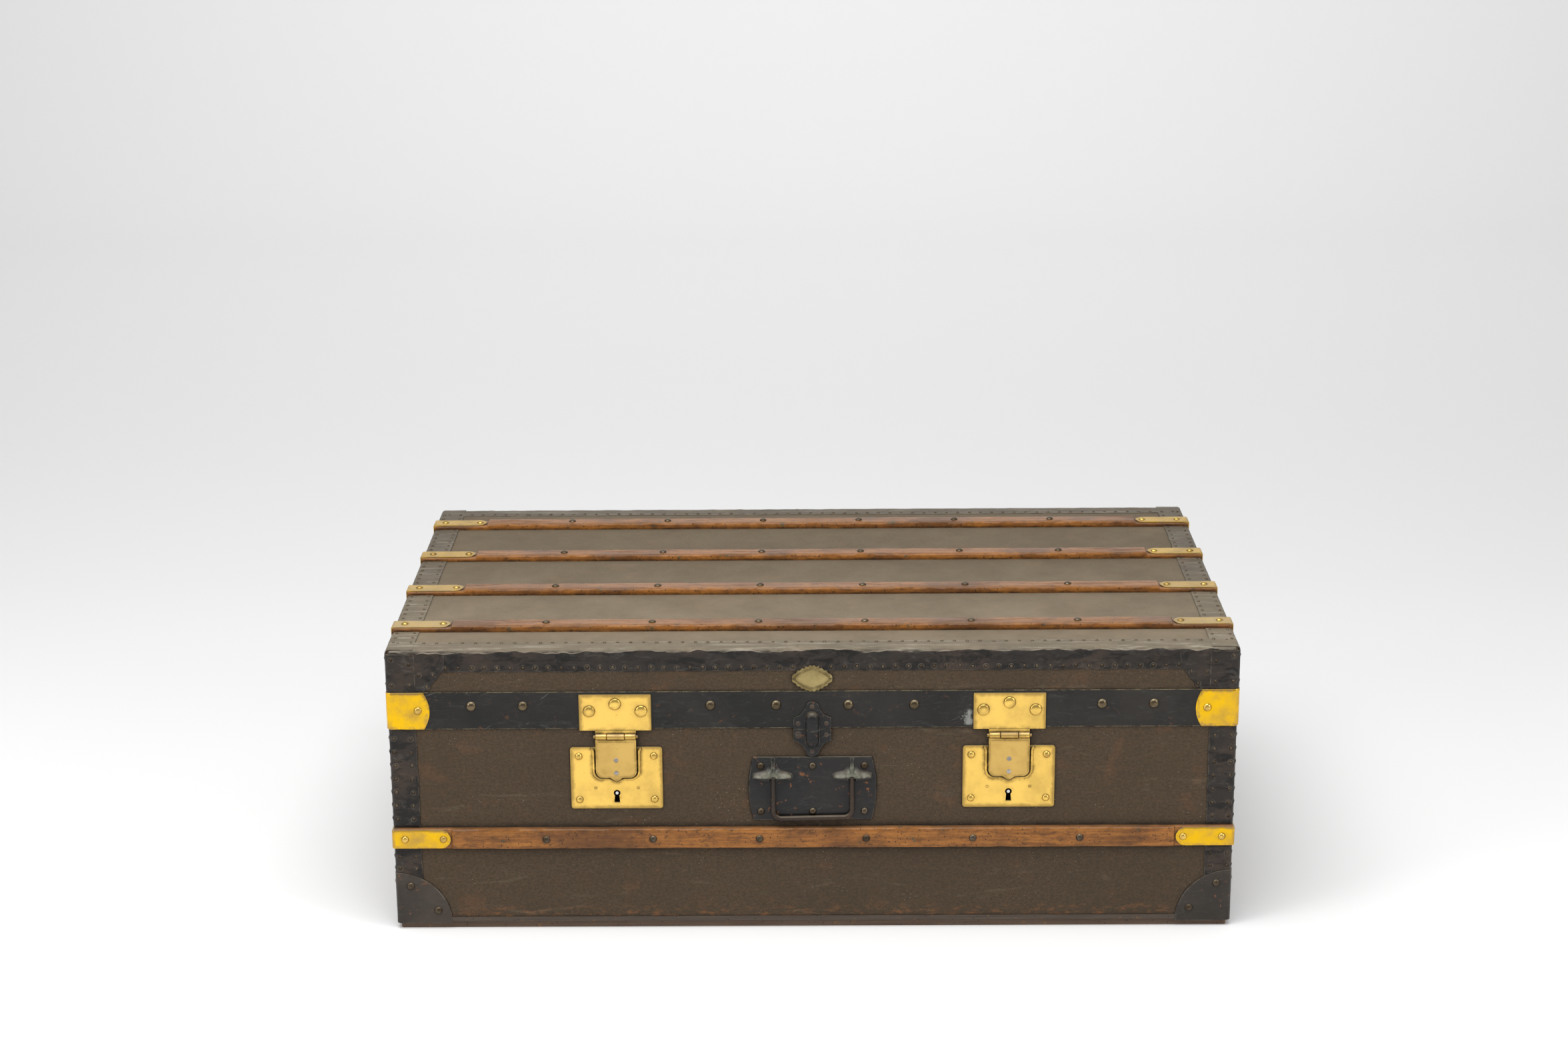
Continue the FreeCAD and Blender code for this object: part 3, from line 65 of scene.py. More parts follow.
HALF_WIDTH, HALF_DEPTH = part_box("body_canvas")[1].xy
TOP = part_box("lid_canvas")[1].z
BODY_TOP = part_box("body_canvas")[1].z
BAND_LOW, BAND_HIGH = (corner.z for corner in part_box("lid_band"))
SLAT_LOW, SLAT_HIGH = (corner.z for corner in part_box("body_front_slat"))
LID_SLATS = ("lid_front_slat", "lid_inner_front_slat", "lid_inner_back_slat", "lid_back_slat")
LID_SLAT_PLACES = sorted(middle_of(node).y for node in LID_SLATS)
LOCK_OFFSET = middle_of("lock_plate_right").x
KEY_PIN_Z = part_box("lock_plate_right")[0].z + 19.6 * MM
BLOOM = (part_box("hasp_plate_right")[0].x - 5 * MM, BAND_LOW + 11 * MM)

CORNER = 4 * MM  # radius of the trunk's rounded edges
SUNK = 0.5 * MM  # how deep a sheet's rim goes into what it lies on
BINDING = 0.8 * MM  # thickness of the leather
BAND = 1.5 * MM  # thickness of the lid's band
PLATE = 1.5 * MM  # thickness of the lock plates
STRIP = 32 * MM  # width of the leather on each face
LID_FRONT_STRIP = 27.5 * MM  # width of the long bindings on the lid's top
LID_STRIP_FOOT = 328 * MM  # height at which the lid's bindings end
LID_DROP = TOP - LID_STRIP_FOOT  # how far they reach down
UPRIGHTS = [(right, back) for right in (-1, 1) for back in (-1, 1)]


# Sizes and colours that a user would change

class TrunkSizes(bpy.types.PropertyGroup):
    """Sizes of the trim and of the textures."""

    weave_pitch: FloatProperty(
        name="Weave pitch", description="Width of one thread of the canvas",
        default=1.12 * MM, min=0.2 * MM, unit="LENGTH", precision=5)
    tack_radius: FloatProperty(
        name="Tack radius", description="Half the width of a small binding tack",
        default=1.9 * MM, min=0.5 * MM, unit="LENGTH", precision=5)
    tack_pitch: FloatProperty(
        name="Tack pitch", description="Distance between tacks along the lid's edges",
        default=15.2 * MM, min=5 * MM, unit="LENGTH", precision=5)
    upright_tack_pitch: FloatProperty(
        name="Upright tack pitch", description="Distance between tacks up the body's corners",
        default=17.1 * MM, min=5 * MM, unit="LENGTH", precision=5)
    crinkle: FloatProperty(
        name="Crinkle", description="How far the old bindings lift off in waves",
        default=0.9 * MM, min=0.0, unit="LENGTH", precision=5)
    wood_dent: FloatProperty(
        name="Wood dents", description="Depth of the dents in the slats",
        default=0.35 * MM, min=0.0, unit="LENGTH", precision=5)
    dome_sides: IntProperty(
        name="Dome sides", description="Sides of a stud's round head", default=28, min=8)


class TrunkColours(bpy.types.PropertyGroup):
    """Base colours of the finishes."""

    canvas: FloatVectorProperty(
        name="Canvas", description="Dark thread of the woven canvas",
        subtype="COLOR", size=4, default=(0.050, 0.034, 0.021, 1.0))
    canvas_light: FloatVectorProperty(
        name="Canvas light", description="Rubbed tops of the threads",
        subtype="COLOR", size=4, default=(0.175, 0.123, 0.075, 1.0))
    canvas_rust: FloatVectorProperty(
        name="Canvas rust", description="Reddish wear low on the body",
        subtype="COLOR", size=4, default=(0.26, 0.105, 0.040, 1.0))
    leather: FloatVectorProperty(
        name="Binding", description="Edge binding and corner patches",
        subtype="COLOR", size=4, default=(0.021, 0.0165, 0.0130, 1.0))
    leather_worn: FloatVectorProperty(
        name="Worn binding", description="Peeled edges of the binding",
        subtype="COLOR", size=4, default=(0.30, 0.25, 0.19, 1.0))
    dust: FloatVectorProperty(
        name="Dust", description="Dust on what faces up",
        subtype="COLOR", size=4, default=(0.285, 0.232, 0.158, 1.0))
    band: FloatVectorProperty(
        name="Band", description="Blue-black lacquer of the lid's band",
        subtype="COLOR", size=4, default=(0.0120, 0.0118, 0.0112, 1.0))
    brass: FloatVectorProperty(
        name="Brass", description="Polished brass",
        subtype="COLOR", size=4, default=(0.88, 0.575, 0.135, 1.0))
    brass_patina: FloatVectorProperty(
        name="Brass patina", description="Tarnish round the edges of the brass",
        subtype="COLOR", size=4, default=(0.42, 0.27, 0.075, 1.0))
    dark_brass: FloatVectorProperty(
        name="Dark brass", description="Browned brass of the band's studs",
        subtype="COLOR", size=4, default=(0.165, 0.125, 0.075, 1.0))
    iron: FloatVectorProperty(
        name="Iron", description="Black lacquered iron",
        subtype="COLOR", size=4, default=(0.012, 0.012, 0.0125, 1.0))
    rust: FloatVectorProperty(
        name="Rust", description="Rust spots on iron",
        subtype="COLOR", size=4, default=(0.21, 0.085, 0.035, 1.0))
    slat: FloatVectorProperty(
        name="Slat", description="Orange-brown wood of the slats",
        subtype="COLOR", size=4, default=(0.235, 0.082, 0.017, 1.0))
    slat_dark: FloatVectorProperty(
        name="Slat dark", description="Dark streaks in the slats",
        subtype="COLOR", size=4, default=(0.055, 0.022, 0.009, 1.0))
    board: FloatVectorProperty(
        name="Board", description="Plain wood of the boards",
        subtype="COLOR", size=4, default=(0.40, 0.25, 0.13, 1.0))
    paper: FloatVectorProperty(
        name="Lining", description="Lining paper",
        subtype="COLOR", size=4, default=(0.60, 0.52, 0.38, 1.0))


class TrunkStage(bpy.types.PropertyGroup):
    """Floor, lights and camera."""

    floor: FloatVectorProperty(
        name="Floor", description="Colour of floor and backdrop",
        subtype="COLOR", size=4, default=(0.89, 0.89, 0.89, 1.0))
    camera_place: FloatVectorProperty(
        name="Camera place", description="Where the camera stands",
        subtype="TRANSLATION", size=3, default=(-0.00399, -3.48976, 1.48559))
    camera_turn: FloatVectorProperty(
        name="Camera turn", description="The camera's yaw, downward pitch and roll",
        subtype="EULER", size=3, default=(0.0086002, 0.2955891, 0.0076330))
    lens_mm: FloatProperty(
        name="Lens", description="Focal length for a 36 mm sensor, in millimetres",
        default=66.62, min=10.0)
    key_power: FloatProperty(
        name="Key power", description="Power of the softbox overhead",
        subtype="POWER", default=72.0, min=0.0)
    side_power: FloatProperty(
        name="Side power", description="Power of each softbox at the sides",
        subtype="POWER", default=27.0, min=0.0)
    wall_power: FloatProperty(
        name="Wall power", description="Power of the lamp on the backdrop",
        subtype="POWER", default=60.0, min=0.0)
    sky: FloatProperty(
        name="Sky", description="Strength of the even light all round", default=0.44, min=0.0)


# Nodes for the finishes

class Graph:
    """Adds nodes to a tree and joins them up."""

    def __init__(self, tree):
        self.tree = tree

    def feed(self, socket, value):
        """Link a socket, or set it."""
        if isinstance(value, bpy.types.NodeSocket):
            self.tree.links.new(value, socket)
        else:
            socket.default_value = value

    def add(self, kind, fed=(), **settings):
        """A node with its settings, and what feeds its inputs."""
        node = self.tree.nodes.new(kind)
        for name, value in settings.items():
            setattr(node, name, value)
        for socket, value in dict(fed).items():
            self.feed(node.inputs[socket], value)
        return node

    def place(self):
        """The trunk's own coordinates in metres."""
        return self.add("ShaderNodeTexCoord").outputs["Object"]

    def facing(self):
        """The normal in the trunk's own coordinates."""
        return self.add("ShaderNodeTexCoord").outputs["Normal"]

    def split(self, vector):
        """The three values of a vector."""
        return self.add("ShaderNodeSeparateXYZ", {0: vector}).outputs

    def unsigned(self, vector):
        """Each value of a vector without its sign."""
        return self.add("ShaderNodeVectorMath", {0: vector}, operation="ABSOLUTE").outputs[0]

    def math(self, operation, *values, clamp=False):
        """One sum."""
        fed = dict(enumerate(values))
        return self.add("ShaderNodeMath", fed, operation=operation, use_clamp=clamp).outputs[0]

    def times(self, first, second, clamp=False):
        """The product of two values."""
        return self.math("MULTIPLY", first, second, clamp=clamp)

    def plus(self, first, second):
        """The sum of two values."""
        return self.math("ADD", first, second)

    def minus(self, first, second):
        """The first value less the second."""
        return self.math("SUBTRACT", first, second)

    def scaled(self, value, factor, offset):
        """A value times a factor, and an offset added."""
        return self.math("MULTIPLY_ADD", value, factor, offset)

    def inverse(self, mask):
        """1 where a mask is 0, and 0 where it is 1."""
        return self.minus(1.0, mask)

    def between(self, value, low, high):
        """0 below low, 1 above high, smooth between."""
        fed = {"Value": value, "From Min": low, "From Max": high}
        return self.add("ShaderNodeMapRange", fed, interpolation_type="SMOOTHSTEP").outputs[0]

    def mix(self, mask, first, second):
        """The first colour, turning to the second where the mask is 1."""
        fed = {0: mask, 6: first, 7: second}
        return self.add("ShaderNodeMix", fed, data_type="RGBA").outputs[2]

    def tint(self, colour, mask, share, tone):
        """A colour that goes that share of the way to a tone where the mask is 1."""
        return self.mix(self.times(mask, share), colour, tone)

    def blend(self, mask, first, second):
        """The first value, turning to the second where the mask is 1."""
        fed = {0: mask, 2: first, 3: second}
        return self.add("ShaderNodeMix", fed, data_type="FLOAT").outputs[0]

    def noise(self, vector, scale, detail=4.0, roughness=0.55, distortion=0.0):
        """Cloudy noise from 0 to 1."""
        fed = {"Vector": vector, "Scale": scale, "Detail": detail, "Roughness": roughness,
               "Distortion": distortion}
        return self.add("ShaderNodeTexNoise", fed).outputs[0]

    def streaks(self, vector, scales, detail, roughness, distortion=0.0, scale=1.0):
        """Cloudy noise with its own scale along each axis."""
        drawn = self.add("ShaderNodeMapping", {"Vector": vector, "Scale": scales}).outputs[0]
        return self.noise(drawn, scale, detail, roughness, distortion)

    def cells(self, vector, scale):
        """Distance to scattered points."""
        fed = {"Vector": vector, "Scale": scale}
        return self.add("ShaderNodeTexVoronoi", fed, feature="F1").outputs["Distance"]

    def bump(self, height, distance, strength):
        """A normal from a height map; distance is the real height of 1."""
        fed = {"Height": height, "Distance": distance, "Strength": strength}
        return self.add("ShaderNodeBump", fed).outputs[0]

    def group(self, tree, **fed):
        """One of the shared effects, its inputs fed by name."""
        node = self.add("ShaderNodeGroup", node_tree=tree)
        for name, value in fed.items():
            self.feed(node.inputs[name], value)
        return node.outputs

    def mask(self, tree, **fed):
        """The mask of one of the shared effects."""
        return self.group(tree, **fed)["Mask"]


def new_group(name, inputs, outputs):
    """An empty effect: its tree, a graph on it, its input sockets and its output sockets."""
    tree = bpy.data.node_groups.new(name, "ShaderNodeTree")
    for socket, default in inputs.items():
        made = tree.interface.new_socket(socket, in_out="INPUT", socket_type="NodeSocketFloat")
        made.default_value = default
    for socket in outputs:
        tree.interface.new_socket(socket, in_out="OUTPUT", socket_type="NodeSocketFloat")
    graph = Graph(tree)
    return tree, graph, graph.add("NodeGroupInput").outputs, graph.add("NodeGroupOutput").inputs


def make_blotches():
    """Cloudy patches: a mask with soft or hard borders."""
    tree, graph, fed, out = new_group("blotches", {"Scale": 20.0, "Low": 0.45, "High": 0.6}, ["Mask"])
    cloud = graph.noise(graph.place(), fed["Scale"], 6.0, 0.62)
    graph.feed(out["Mask"], graph.between(cloud, fed["Low"], fed["High"]))
    return tree


def make_edge_wear():
    """Where an edge is rubbed: the rounded normal leaves the true one."""
    inputs = {"Radius": 1.0 * MM, "Scale": 60.0, "Amount": 1.0, "Bend": 0.12}
    tree, graph, fed, out = new_group("edge wear", inputs, ["Mask"])
    rounded = graph.add("ShaderNodeBevel", {"Radius": fed["Radius"]}, samples=4).outputs[0]
    true = graph.add("ShaderNodeNewGeometry").outputs["True Normal"]
    along = graph.add("ShaderNodeVectorMath", {0: rounded, 1: true}, operation="DOT_PRODUCT")
    away = graph.inverse(along.outputs["Value"])
    bend = graph.between(away, graph.times(fed["Bend"], 0.05), fed["Bend"])
    broken = graph.between(graph.noise(graph.place(), fed["Scale"], 4.0, 0.7), 0.38, 0.6)
    graph.feed(out["Mask"], graph.times(graph.times(bend, broken), fed["Amount"], clamp=True))
    return tree


def make_grime_and_shade():
    """Dirt that gathers where pieces meet, with painted shade there: darker round studs, in slots and along
    plates, where ambient occlusion finds the surface closed in.
    """
    inputs = {"Distance": 4.0 * MM, "Scale": 90.0, "Amount": 1.0}
    tree, graph, fed, out = new_group("grime_and_shade", inputs, ["Mask"])
    # Painted shade: ambient occlusion darkens closed-in places, partly standing for real grime.
    occlusion = graph.add("ShaderNodeAmbientOcclusion", {"Distance": fed["Distance"]}, samples=8)
    closed = graph.inverse(graph.between(occlusion.outputs["AO"], 0.55, 1.0))
    cloud = graph.noise(graph.place(), fed["Scale"], 4.0, 0.65)
    broken = graph.plus(graph.between(cloud, 0.25, 0.7), 0.35)
    graph.feed(out["Mask"], graph.times(graph.times(closed, broken), fed["Amount"], clamp=True))
    return tree


def flat_place(graph):
    """Two coordinates on whichever face of the trunk a point lies, and the point."""
    place = graph.place()
    at = graph.split(place)
    facing = graph.split(graph.facing())
    on_end = graph.math("GREATER_THAN", graph.math("ABSOLUTE", facing[0]), 0.7)
    on_top = graph.math("GREATER_THAN", graph.math("ABSOLUTE", facing[2]), 0.7)
    return graph.blend(on_end, at[0], at[1]), graph.blend(on_top, at[2], at[1]), place


def make_weave():
    """Plain weave: threads that pass over and under each other."""
    tree, graph, fed, out = new_group("weave", {"Pitch": 1.0 * MM}, ["Height", "Rubbed"])
    across, up, place = flat_place(graph)
    waves = []
    for way in (across, up):
        wobble = graph.times(graph.noise(place, 9.0, 2.0), 3.0 * MM)
        turns = graph.math("DIVIDE", graph.plus(way, wobble), fed["Pitch"])
        waves.append(graph.math("SINE", graph.times(turns, math.pi)))
    height = graph.scaled(graph.times(*waves), 0.5, 0.5)
    graph.feed(out["Height"], height)
    crown = graph.between(height, 0.30, 0.95)
    slubs = graph.streaks(place, (260.0, 260.0, 420.0), 4.0, 0.7)
    graph.feed(out["Rubbed"], graph.times(crown, graph.between(slubs, 0.28, 0.78)))
    return tree


def make_dust():
    """Dust that settles on what faces up, thicker towards the front."""
    tree, graph, fed, out = new_group("dust", {"Scale": 14.0, "Amount": 1.0}, ["Mask"])
    place = graph.place()
    up = graph.split(graph.facing())[2]
    cloud = graph.between(graph.noise(place, fed["Scale"], 7.0, 0.7), 0.15, 0.85)
    behind = graph.between(graph.split(place)[1], -0.82 * HALF_DEPTH, 0.3 * HALF_DEPTH)
    layer = graph.times(graph.scaled(cloud, 0.5, 0.65), graph.inverse(graph.times(behind, 0.42)))
    settled = graph.times(graph.between(up, 0.25, 0.95), layer)
    graph.feed(out["Mask"], graph.times(settled, fed["Amount"], clamp=True))
    return tree


def make_scratches():
    """Fine scratches in two directions."""
    tree, graph, fed, out = new_group("scratches", {"Scale": 1.0, "Amount": 1.0}, ["Mask"])
    place = graph.place()
    masks = []
    for lean, scales in ((0.35, (14.0, 14.0, 420.0)), (-0.9, (420.0, 14.0, 26.0))):
        turned = graph.add("ShaderNodeMapping", {"Vector": place, "Rotation": (0.0, lean, 0.0)}).outputs[0]
        wisps = graph.streaks(turned, scales, 3.0, 0.6, 0.3, fed["Scale"])
        masks.append(graph.between(wisps, 0.68, 0.78))
    graph.feed(out["Mask"], graph.times(graph.math("MAXIMUM", *masks), fed["Amount"], clamp=True))
    return tree


def make_grain():
    """Wood along X: fine grain, dark streaks and worm holes."""
    tree, graph, fed, out = new_group("wood grain", {"Scale": 1.0}, ["Grain", "Streaks", "Holes"])
    place = graph.place()
    graph.feed(out["Grain"], graph.streaks(place, (14.0, 420.0, 420.0), 5.0, 0.65, 0.4, fed["Scale"]))
    wide = graph.streaks(place, (9.0, 95.0, 95.0), 6.0, 0.7, 1.2, fed["Scale"])
    graph.feed(out["Streaks"], graph.between(wide, 0.46, 0.66))
    dots = graph.math("LESS_THAN", graph.cells(place, 175.0), 0.13)
    graph.feed(out["Holes"], graph.times(dots, graph.between(graph.noise(place, 14.0), 0.30, 0.42)))
    return tree


class Effects:
    """The shared effects, each built once."""

    def __init__(self):
        self.blotches = make_blotches()
        self.edge_wear = make_edge_wear()
        self.grime_and_shade = make_grime_and_shade()
        self.weave = make_weave()
        self.dust = make_dust()
        self.scratches = make_scratches()
        self.grain = make_grain()


# Finishes

def toned(tone, *shares):
    """A colour with its red, green and blue each multiplied by a share."""
    return (*(min(1.0, value * share) for value, share in zip(tone, shares)), 1.0)


def new_finish(name, **plain):
    """A material with its graph and its shader, whose plain values are set on its own sockets."""
    material = bpy.data.materials.new(name)
    material.use_nodes = True
    shader = material.node_tree.nodes["Principled BSDF"]
    for socket, value in plain.items():
        shader.inputs[socket.replace("_", " ").title().replace("Ior", "IOR")].default_value = value
    return material, Graph(material.node_tree), shader.inputs


def finish_canvas(effects, sizes, colours):
    """Dark woven canvas, rubbed, rusty low down and dusty on top."""
    soot_and_shade = (0.008, 0.006, 0.004, 1.0)
    material, graph, shader = new_finish("canvas", roughness=0.86, specular_ior_level=0.25)
    weave = graph.group(effects.weave, Pitch=sizes.weave_pitch)
    place = graph.place()
    colour = graph.mix(weave["Rubbed"], colours.canvas, colours.canvas_light)
    shade = graph.mask(effects.blotches, Scale=7.0, Low=0.3, High=0.75)
    colour = graph.tint(colour, shade, 0.45, colours.canvas)
    low = graph.inverse(graph.between(graph.split(place)[2], 16.0 * MM, 34.0 * MM))
    rust = graph.between(graph.streaks(place, (60.0, 60.0, 170.0), 7.0, 0.75), 0.50, 0.64)
    rust = graph.times(rust, graph.scaled(low, 0.50, 0.05))
    stained = graph.mask(effects.blotches, Scale=21.0, Low=0.56, High=0.68)
    rust = graph.math("MAXIMUM", rust, graph.times(stained, 0.13))
    colour = graph.mix(rust, colour, colours.canvas_rust)
    scuffs = graph.between(graph.streaks(place, (11.0, 11.0, 55.0), 7.0, 0.75, 1.0), 0.56, 0.76)
    colour = graph.tint(colour, scuffs, 0.22, colours.dust)
    # Painted shade and grime: the canvas turns soot-dark where ambient occlusion finds it closed in, by
    # slats, bindings and plates.
    colour = graph.mix(graph.mask(effects.grime_and_shade, Distance=9.0 * MM, Scale=40.0, Amount=0.65), colour, soot_and_shade)
    specks = graph.math("LESS_THAN", graph.cells(place, 210.0), 0.10)
    specks = graph.times(specks, graph.between(graph.noise(place, 17.0), 0.52, 0.62))
    colour = graph.tint(colour, specks, 0.7, colours.leather_worn)
    colour = graph.mix(graph.mask(effects.dust, Scale=16.0, Amount=0.68), colour, colours.dust)
    graph.feed(shader["Base Color"], colour)
    graph.feed(shader["Normal"], graph.bump(weave["Height"], 0.35 * MM, 0.8))
    return material


def finish_leather(name, effects, colours, peeled=False):
    """Old coated binding: black, crackled, peeled pale along its edges or all over."""
    grey, bleached, soot_and_shade = (0.17, 0.155, 0.135, 1.0), (0.46, 0.42, 0.34, 1.0), (0.006, 0.005, 0.004, 1.0)
    material, graph, shader = new_finish(name, specular_ior_level=0.28)
    place = graph.place()
    patch = graph.mask(effects.blotches, Scale=22.0, Low=0.42, High=0.72)
    colour = graph.tint(colours.leather, patch, 0.8, toned(colours.leather, 2.4, 1.9, 1.65))
    inky = graph.between(graph.streaks(place, (26.0, 60.0, 60.0), 5.0, 0.65, 0.8), 0.46, 0.60)
    colour = graph.mix(inky, colour, toned(colours.leather, 0.35, 0.35, 0.35))
    greyed = graph.between(graph.streaks(place, (45.0, 110.0, 110.0), 6.0, 0.75, 0.8), 0.54, 0.68)
    colour = graph.tint(colour, greyed, 0.17, grey)
    if peeled:
        bare = graph.between(graph.noise(place, 90.0, 5.0, 0.7), 0.30, 0.55)
        colour = graph.tint(colour, bare, 0.85, colours.leather_worn)
    crackle = graph.between(graph.streaks(place, (1.0, 1.0, 1.9), 6.0, 0.75, 1.6, 130.0), 0.56, 0.66)
    crackle = graph.times(crackle, graph.between(patch, 0.1, 0.9))
    colour = graph.tint(colour, crackle, 0.14, colours.leather_worn)
    # Painted shade and grime: soot-dark where the binding is closed in, round tacks and along plates.
    colour = graph.mix(graph.mask(effects.grime_and_shade, Distance=4.0 * MM, Scale=70.0, Amount=0.7), colour, soot_and_shade)
    dust = graph.mask(effects.dust, Scale=24.0, Amount=0.62)
    colour = graph.mix(dust, colour, colours.dust)
    pale = graph.between(graph.streaks(place, (13.0, 150.0, 150.0), 7.0, 0.75, 0.5), 0.50, 0.66)
    colour = graph.tint(colour, graph.times(pale, dust), 0.75, bleached)
    worn = graph.mask(effects.edge_wear, Radius=1.0 * MM, Scale=85.0, Amount=0.55)
    graph.feed(shader["Base Color"], graph.mix(worn, colour, colours.leather_worn))
    gloss = graph.scaled(graph.noise(place, 30.0), 0.45, 0.15)
    graph.feed(shader["Roughness"], graph.blend(dust, gloss, 0.9))
    broad, fine = graph.noise(place, 55.0, 4.0, 0.6), graph.noise(place, 420.0, 3.0, 0.6)
    relief = graph.minus(graph.plus(graph.times(broad, 7.0), fine), crackle)
    graph.feed(shader["Normal"], graph.bump(relief, 0.22 * MM, 1.0))
    return material


def whitish_patch(graph, place, middle):
    """A ragged mask round an (x, z) on the trunk's front."""
    half_width, half_height = 15 * MM, 24 * MM
    at = graph.split(place)
    aside = graph.math("ABSOLUTE", graph.minus(at[0], middle[0]))
    above = graph.math("ABSOLUTE", graph.minus(at[2], middle[1]))
    away = graph.plus(graph.math("DIVIDE", aside, half_width), graph.math("DIVIDE", above, half_height))
    ragged = graph.minus(graph.noise(place, 150.0, 6.0, 0.75), graph.times(away, 0.30))
    return graph.times(graph.between(ragged, 0.30, 0.46), graph.math("LESS_THAN", at[1], 0.0))


def proud_wear(graph, place):
    """A patchy mask on what stands far out of the trunk's faces and doesn't face down."""
    at = graph.split(graph.unsigned(place))
    proud = graph.math("MAXIMUM", graph.minus(at[0], HALF_WIDTH), graph.minus(at[1], HALF_DEPTH))
    up = graph.split(graph.facing())[2]
    bared = graph.times(graph.between(proud, 2.8 * MM, 6.5 * MM), graph.between(up, -0.1, 0.5))
    return graph.times(bared, graph.between(graph.noise(place, 160.0, 5.0, 0.7), 0.30, 0.62))


def finish_lacquer(name, base, effects, colours, rusty, scratched, rubbed=(0.24, 0.22, 0.17, 1.0),
                   pressed=0.0, bloom=None):
    """Black lacquered sheet metal with scratches, rubbed edges and rust spots.

    pressed is how strongly the parts that stand far out of the trunk are rubbed to greenish grey.
    bloom is the (x, z) where the metal shows through in a whitish patch.
    """
    streaky, scratch, whitish = (0.085, 0.090, 0.078, 1.0), (0.20, 0.21, 0.19, 1.0), (0.26, 0.265, 0.24, 1.0)
    greenish, soot_and_shade = (0.215, 0.215, 0.160, 1.0), (0.006, 0.005, 0.0045, 1.0)
    material, graph, shader = new_finish(name, specular_ior_level=0.20)
    place = graph.place()
    cloudy = graph.mask(effects.blotches, Scale=9.0, Low=0.3, High=0.8)
    colour = graph.mix(cloudy, base, toned(base, 2.5, 2.2, 2.0))
    streaks = graph.between(graph.streaks(place, (30.0, 30.0, 150.0), 8.0, 0.8, 1.5), 0.52, 0.72)
    colour = graph.tint(colour, streaks, 0.42, streaky)
    scratches = graph.mask(effects.scratches, Scale=1.0, Amount=scratched)
    colour = graph.mix(scratches, colour, scratch)
    if bloom:
        colour = graph.tint(colour, whitish_patch(graph, place, bloom), 0.85, whitish)
    rust = graph.mask(effects.blotches, Scale=130.0, Low=0.60, High=0.68)
    where = graph.mask(effects.blotches, Scale=21.0, Low=0.48, High=0.58)
    rust = graph.times(rust, graph.times(where, rusty))
    colour = graph.mix(rust, colour, colours.rust)
    colour = graph.mix(graph.mask(effects.dust, Scale=60.0, Amount=0.35), colour, colours.dust)
    # Painted shade and grime: soot-dark where the metal is closed in, round studs and in slots.
    colour = graph.mix(graph.mask(effects.grime_and_shade, Distance=4.0 * MM, Scale=90.0, Amount=0.7), colour, soot_and_shade)
    if pressed > 0.0:
        colour = graph.tint(colour, proud_wear(graph, place), pressed, greenish)
    worn = graph.mask(effects.edge_wear, Radius=1.0 * MM, Scale=90.0, Amount=0.8)
    graph.feed(shader["Base Color"], graph.mix(worn, colour, rubbed))
    matt = graph.times(graph.math("MAXIMUM", scratches, rust), 0.3)
    graph.feed(shader["Roughness"], graph.plus(graph.scaled(cloudy, 0.18, 0.22), matt))
    relief = graph.minus(graph.noise(place, 70.0, 5.0, 0.6), graph.times(scratches, 0.3))
    relief = graph.plus(relief, graph.times(rust, 0.4))
    graph.feed(shader["Normal"], graph.bump(relief, 0.16 * MM, 0.8))
    return material


def rim_distance(graph, place, node):
    """How far a point on the trunk's front lies inside the border of a plate and of its mirror image."""
    low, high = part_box(node)
    at = graph.split(graph.unsigned(place))
    across = graph.math("MINIMUM", graph.minus(at[0], low.x), graph.minus(high.x, at[0]))
    up = graph.math("MINIMUM", graph.minus(at[2], low.z), graph.minus(high.z, at[2]))
    return graph.math("MINIMUM", across, up)


def finish_brass(name, base, patina, effects, tarnish, gloss, plate=None, dusty=0.62):
    """Brass: polished where it is rubbed, tarnished in clouds and round its edges.

    plate is the node whose border is tarnished more widely, dusty how much dust lies on what faces up.
    """
    dirt_and_shade, pale_dust = (0.055, 0.032, 0.012, 1.0), (0.40, 0.325, 0.205, 1.0)
    material, graph, shader = new_finish(name)
    place = graph.place()
    clouds = graph.mask(effects.blotches, Scale=24.0, Low=0.40, High=0.78)
    spots = graph.mask(effects.blotches, Scale=150.0, Low=0.60, High=0.72)
    worn = graph.mask(effects.edge_wear, Radius=5.0 * MM, Scale=55.0, Amount=1.0, Bend=0.012)
    dull = graph.math("MAXIMUM", graph.times(clouds, tarnish), graph.times(spots, 0.5 * tarnish))
    dull = graph.math("MAXIMUM", dull, worn)
    if plate:
        ragged = graph.times(graph.noise(place, 75.0, 6.0, 0.7), 9.0 * MM)
        inward = graph.minus(rim_distance(graph, place, plate), ragged)
        border = graph.inverse(graph.between(inward, -4.5 * MM, 2.0 * MM))
        dull = graph.math("MAXIMUM", dull, graph.times(border, 0.95))
    # Painted shade and grime: the brass turns dark where it is closed in, round studs and along plate edges.
    grime_and_shade = graph.mask(effects.grime_and_shade, Distance=7.0 * MM, Scale=80.0, Amount=1.0)
    colour = graph.mix(grime_and_shade, graph.mix(dull, base, patina), dirt_and_shade)
    dust = graph.mask(effects.dust, Scale=60.0, Amount=dusty)
    graph.feed(shader["Base Color"], graph.mix(dust, colour, pale_dust))
    graph.feed(shader["Metallic"], graph.inverse(graph.times(dust, 0.8)))
    scratches = graph.mask(effects.scratches, Scale=1.6, Amount=0.6)
    rough = graph.scaled(graph.math("MAXIMUM", dull, grime_and_shade), 0.25, gloss)
    rough = graph.scaled(dust, 0.35, rough)
    graph.feed(shader["Roughness"], graph.scaled(scratches, 0.15, rough))
    brushed = graph.streaks(place, (90.0, 90.0, 900.0), 3.0, 0.6)
    beaten = graph.times(graph.noise(place, 38.0, 3.0, 0.5), 2.0)
    relief = graph.minus(beaten, graph.times(graph.plus(scratches, brushed), 0.1))
    graph.feed(shader["Normal"], graph.bump(relief, 0.16 * MM, 0.6))
    return material


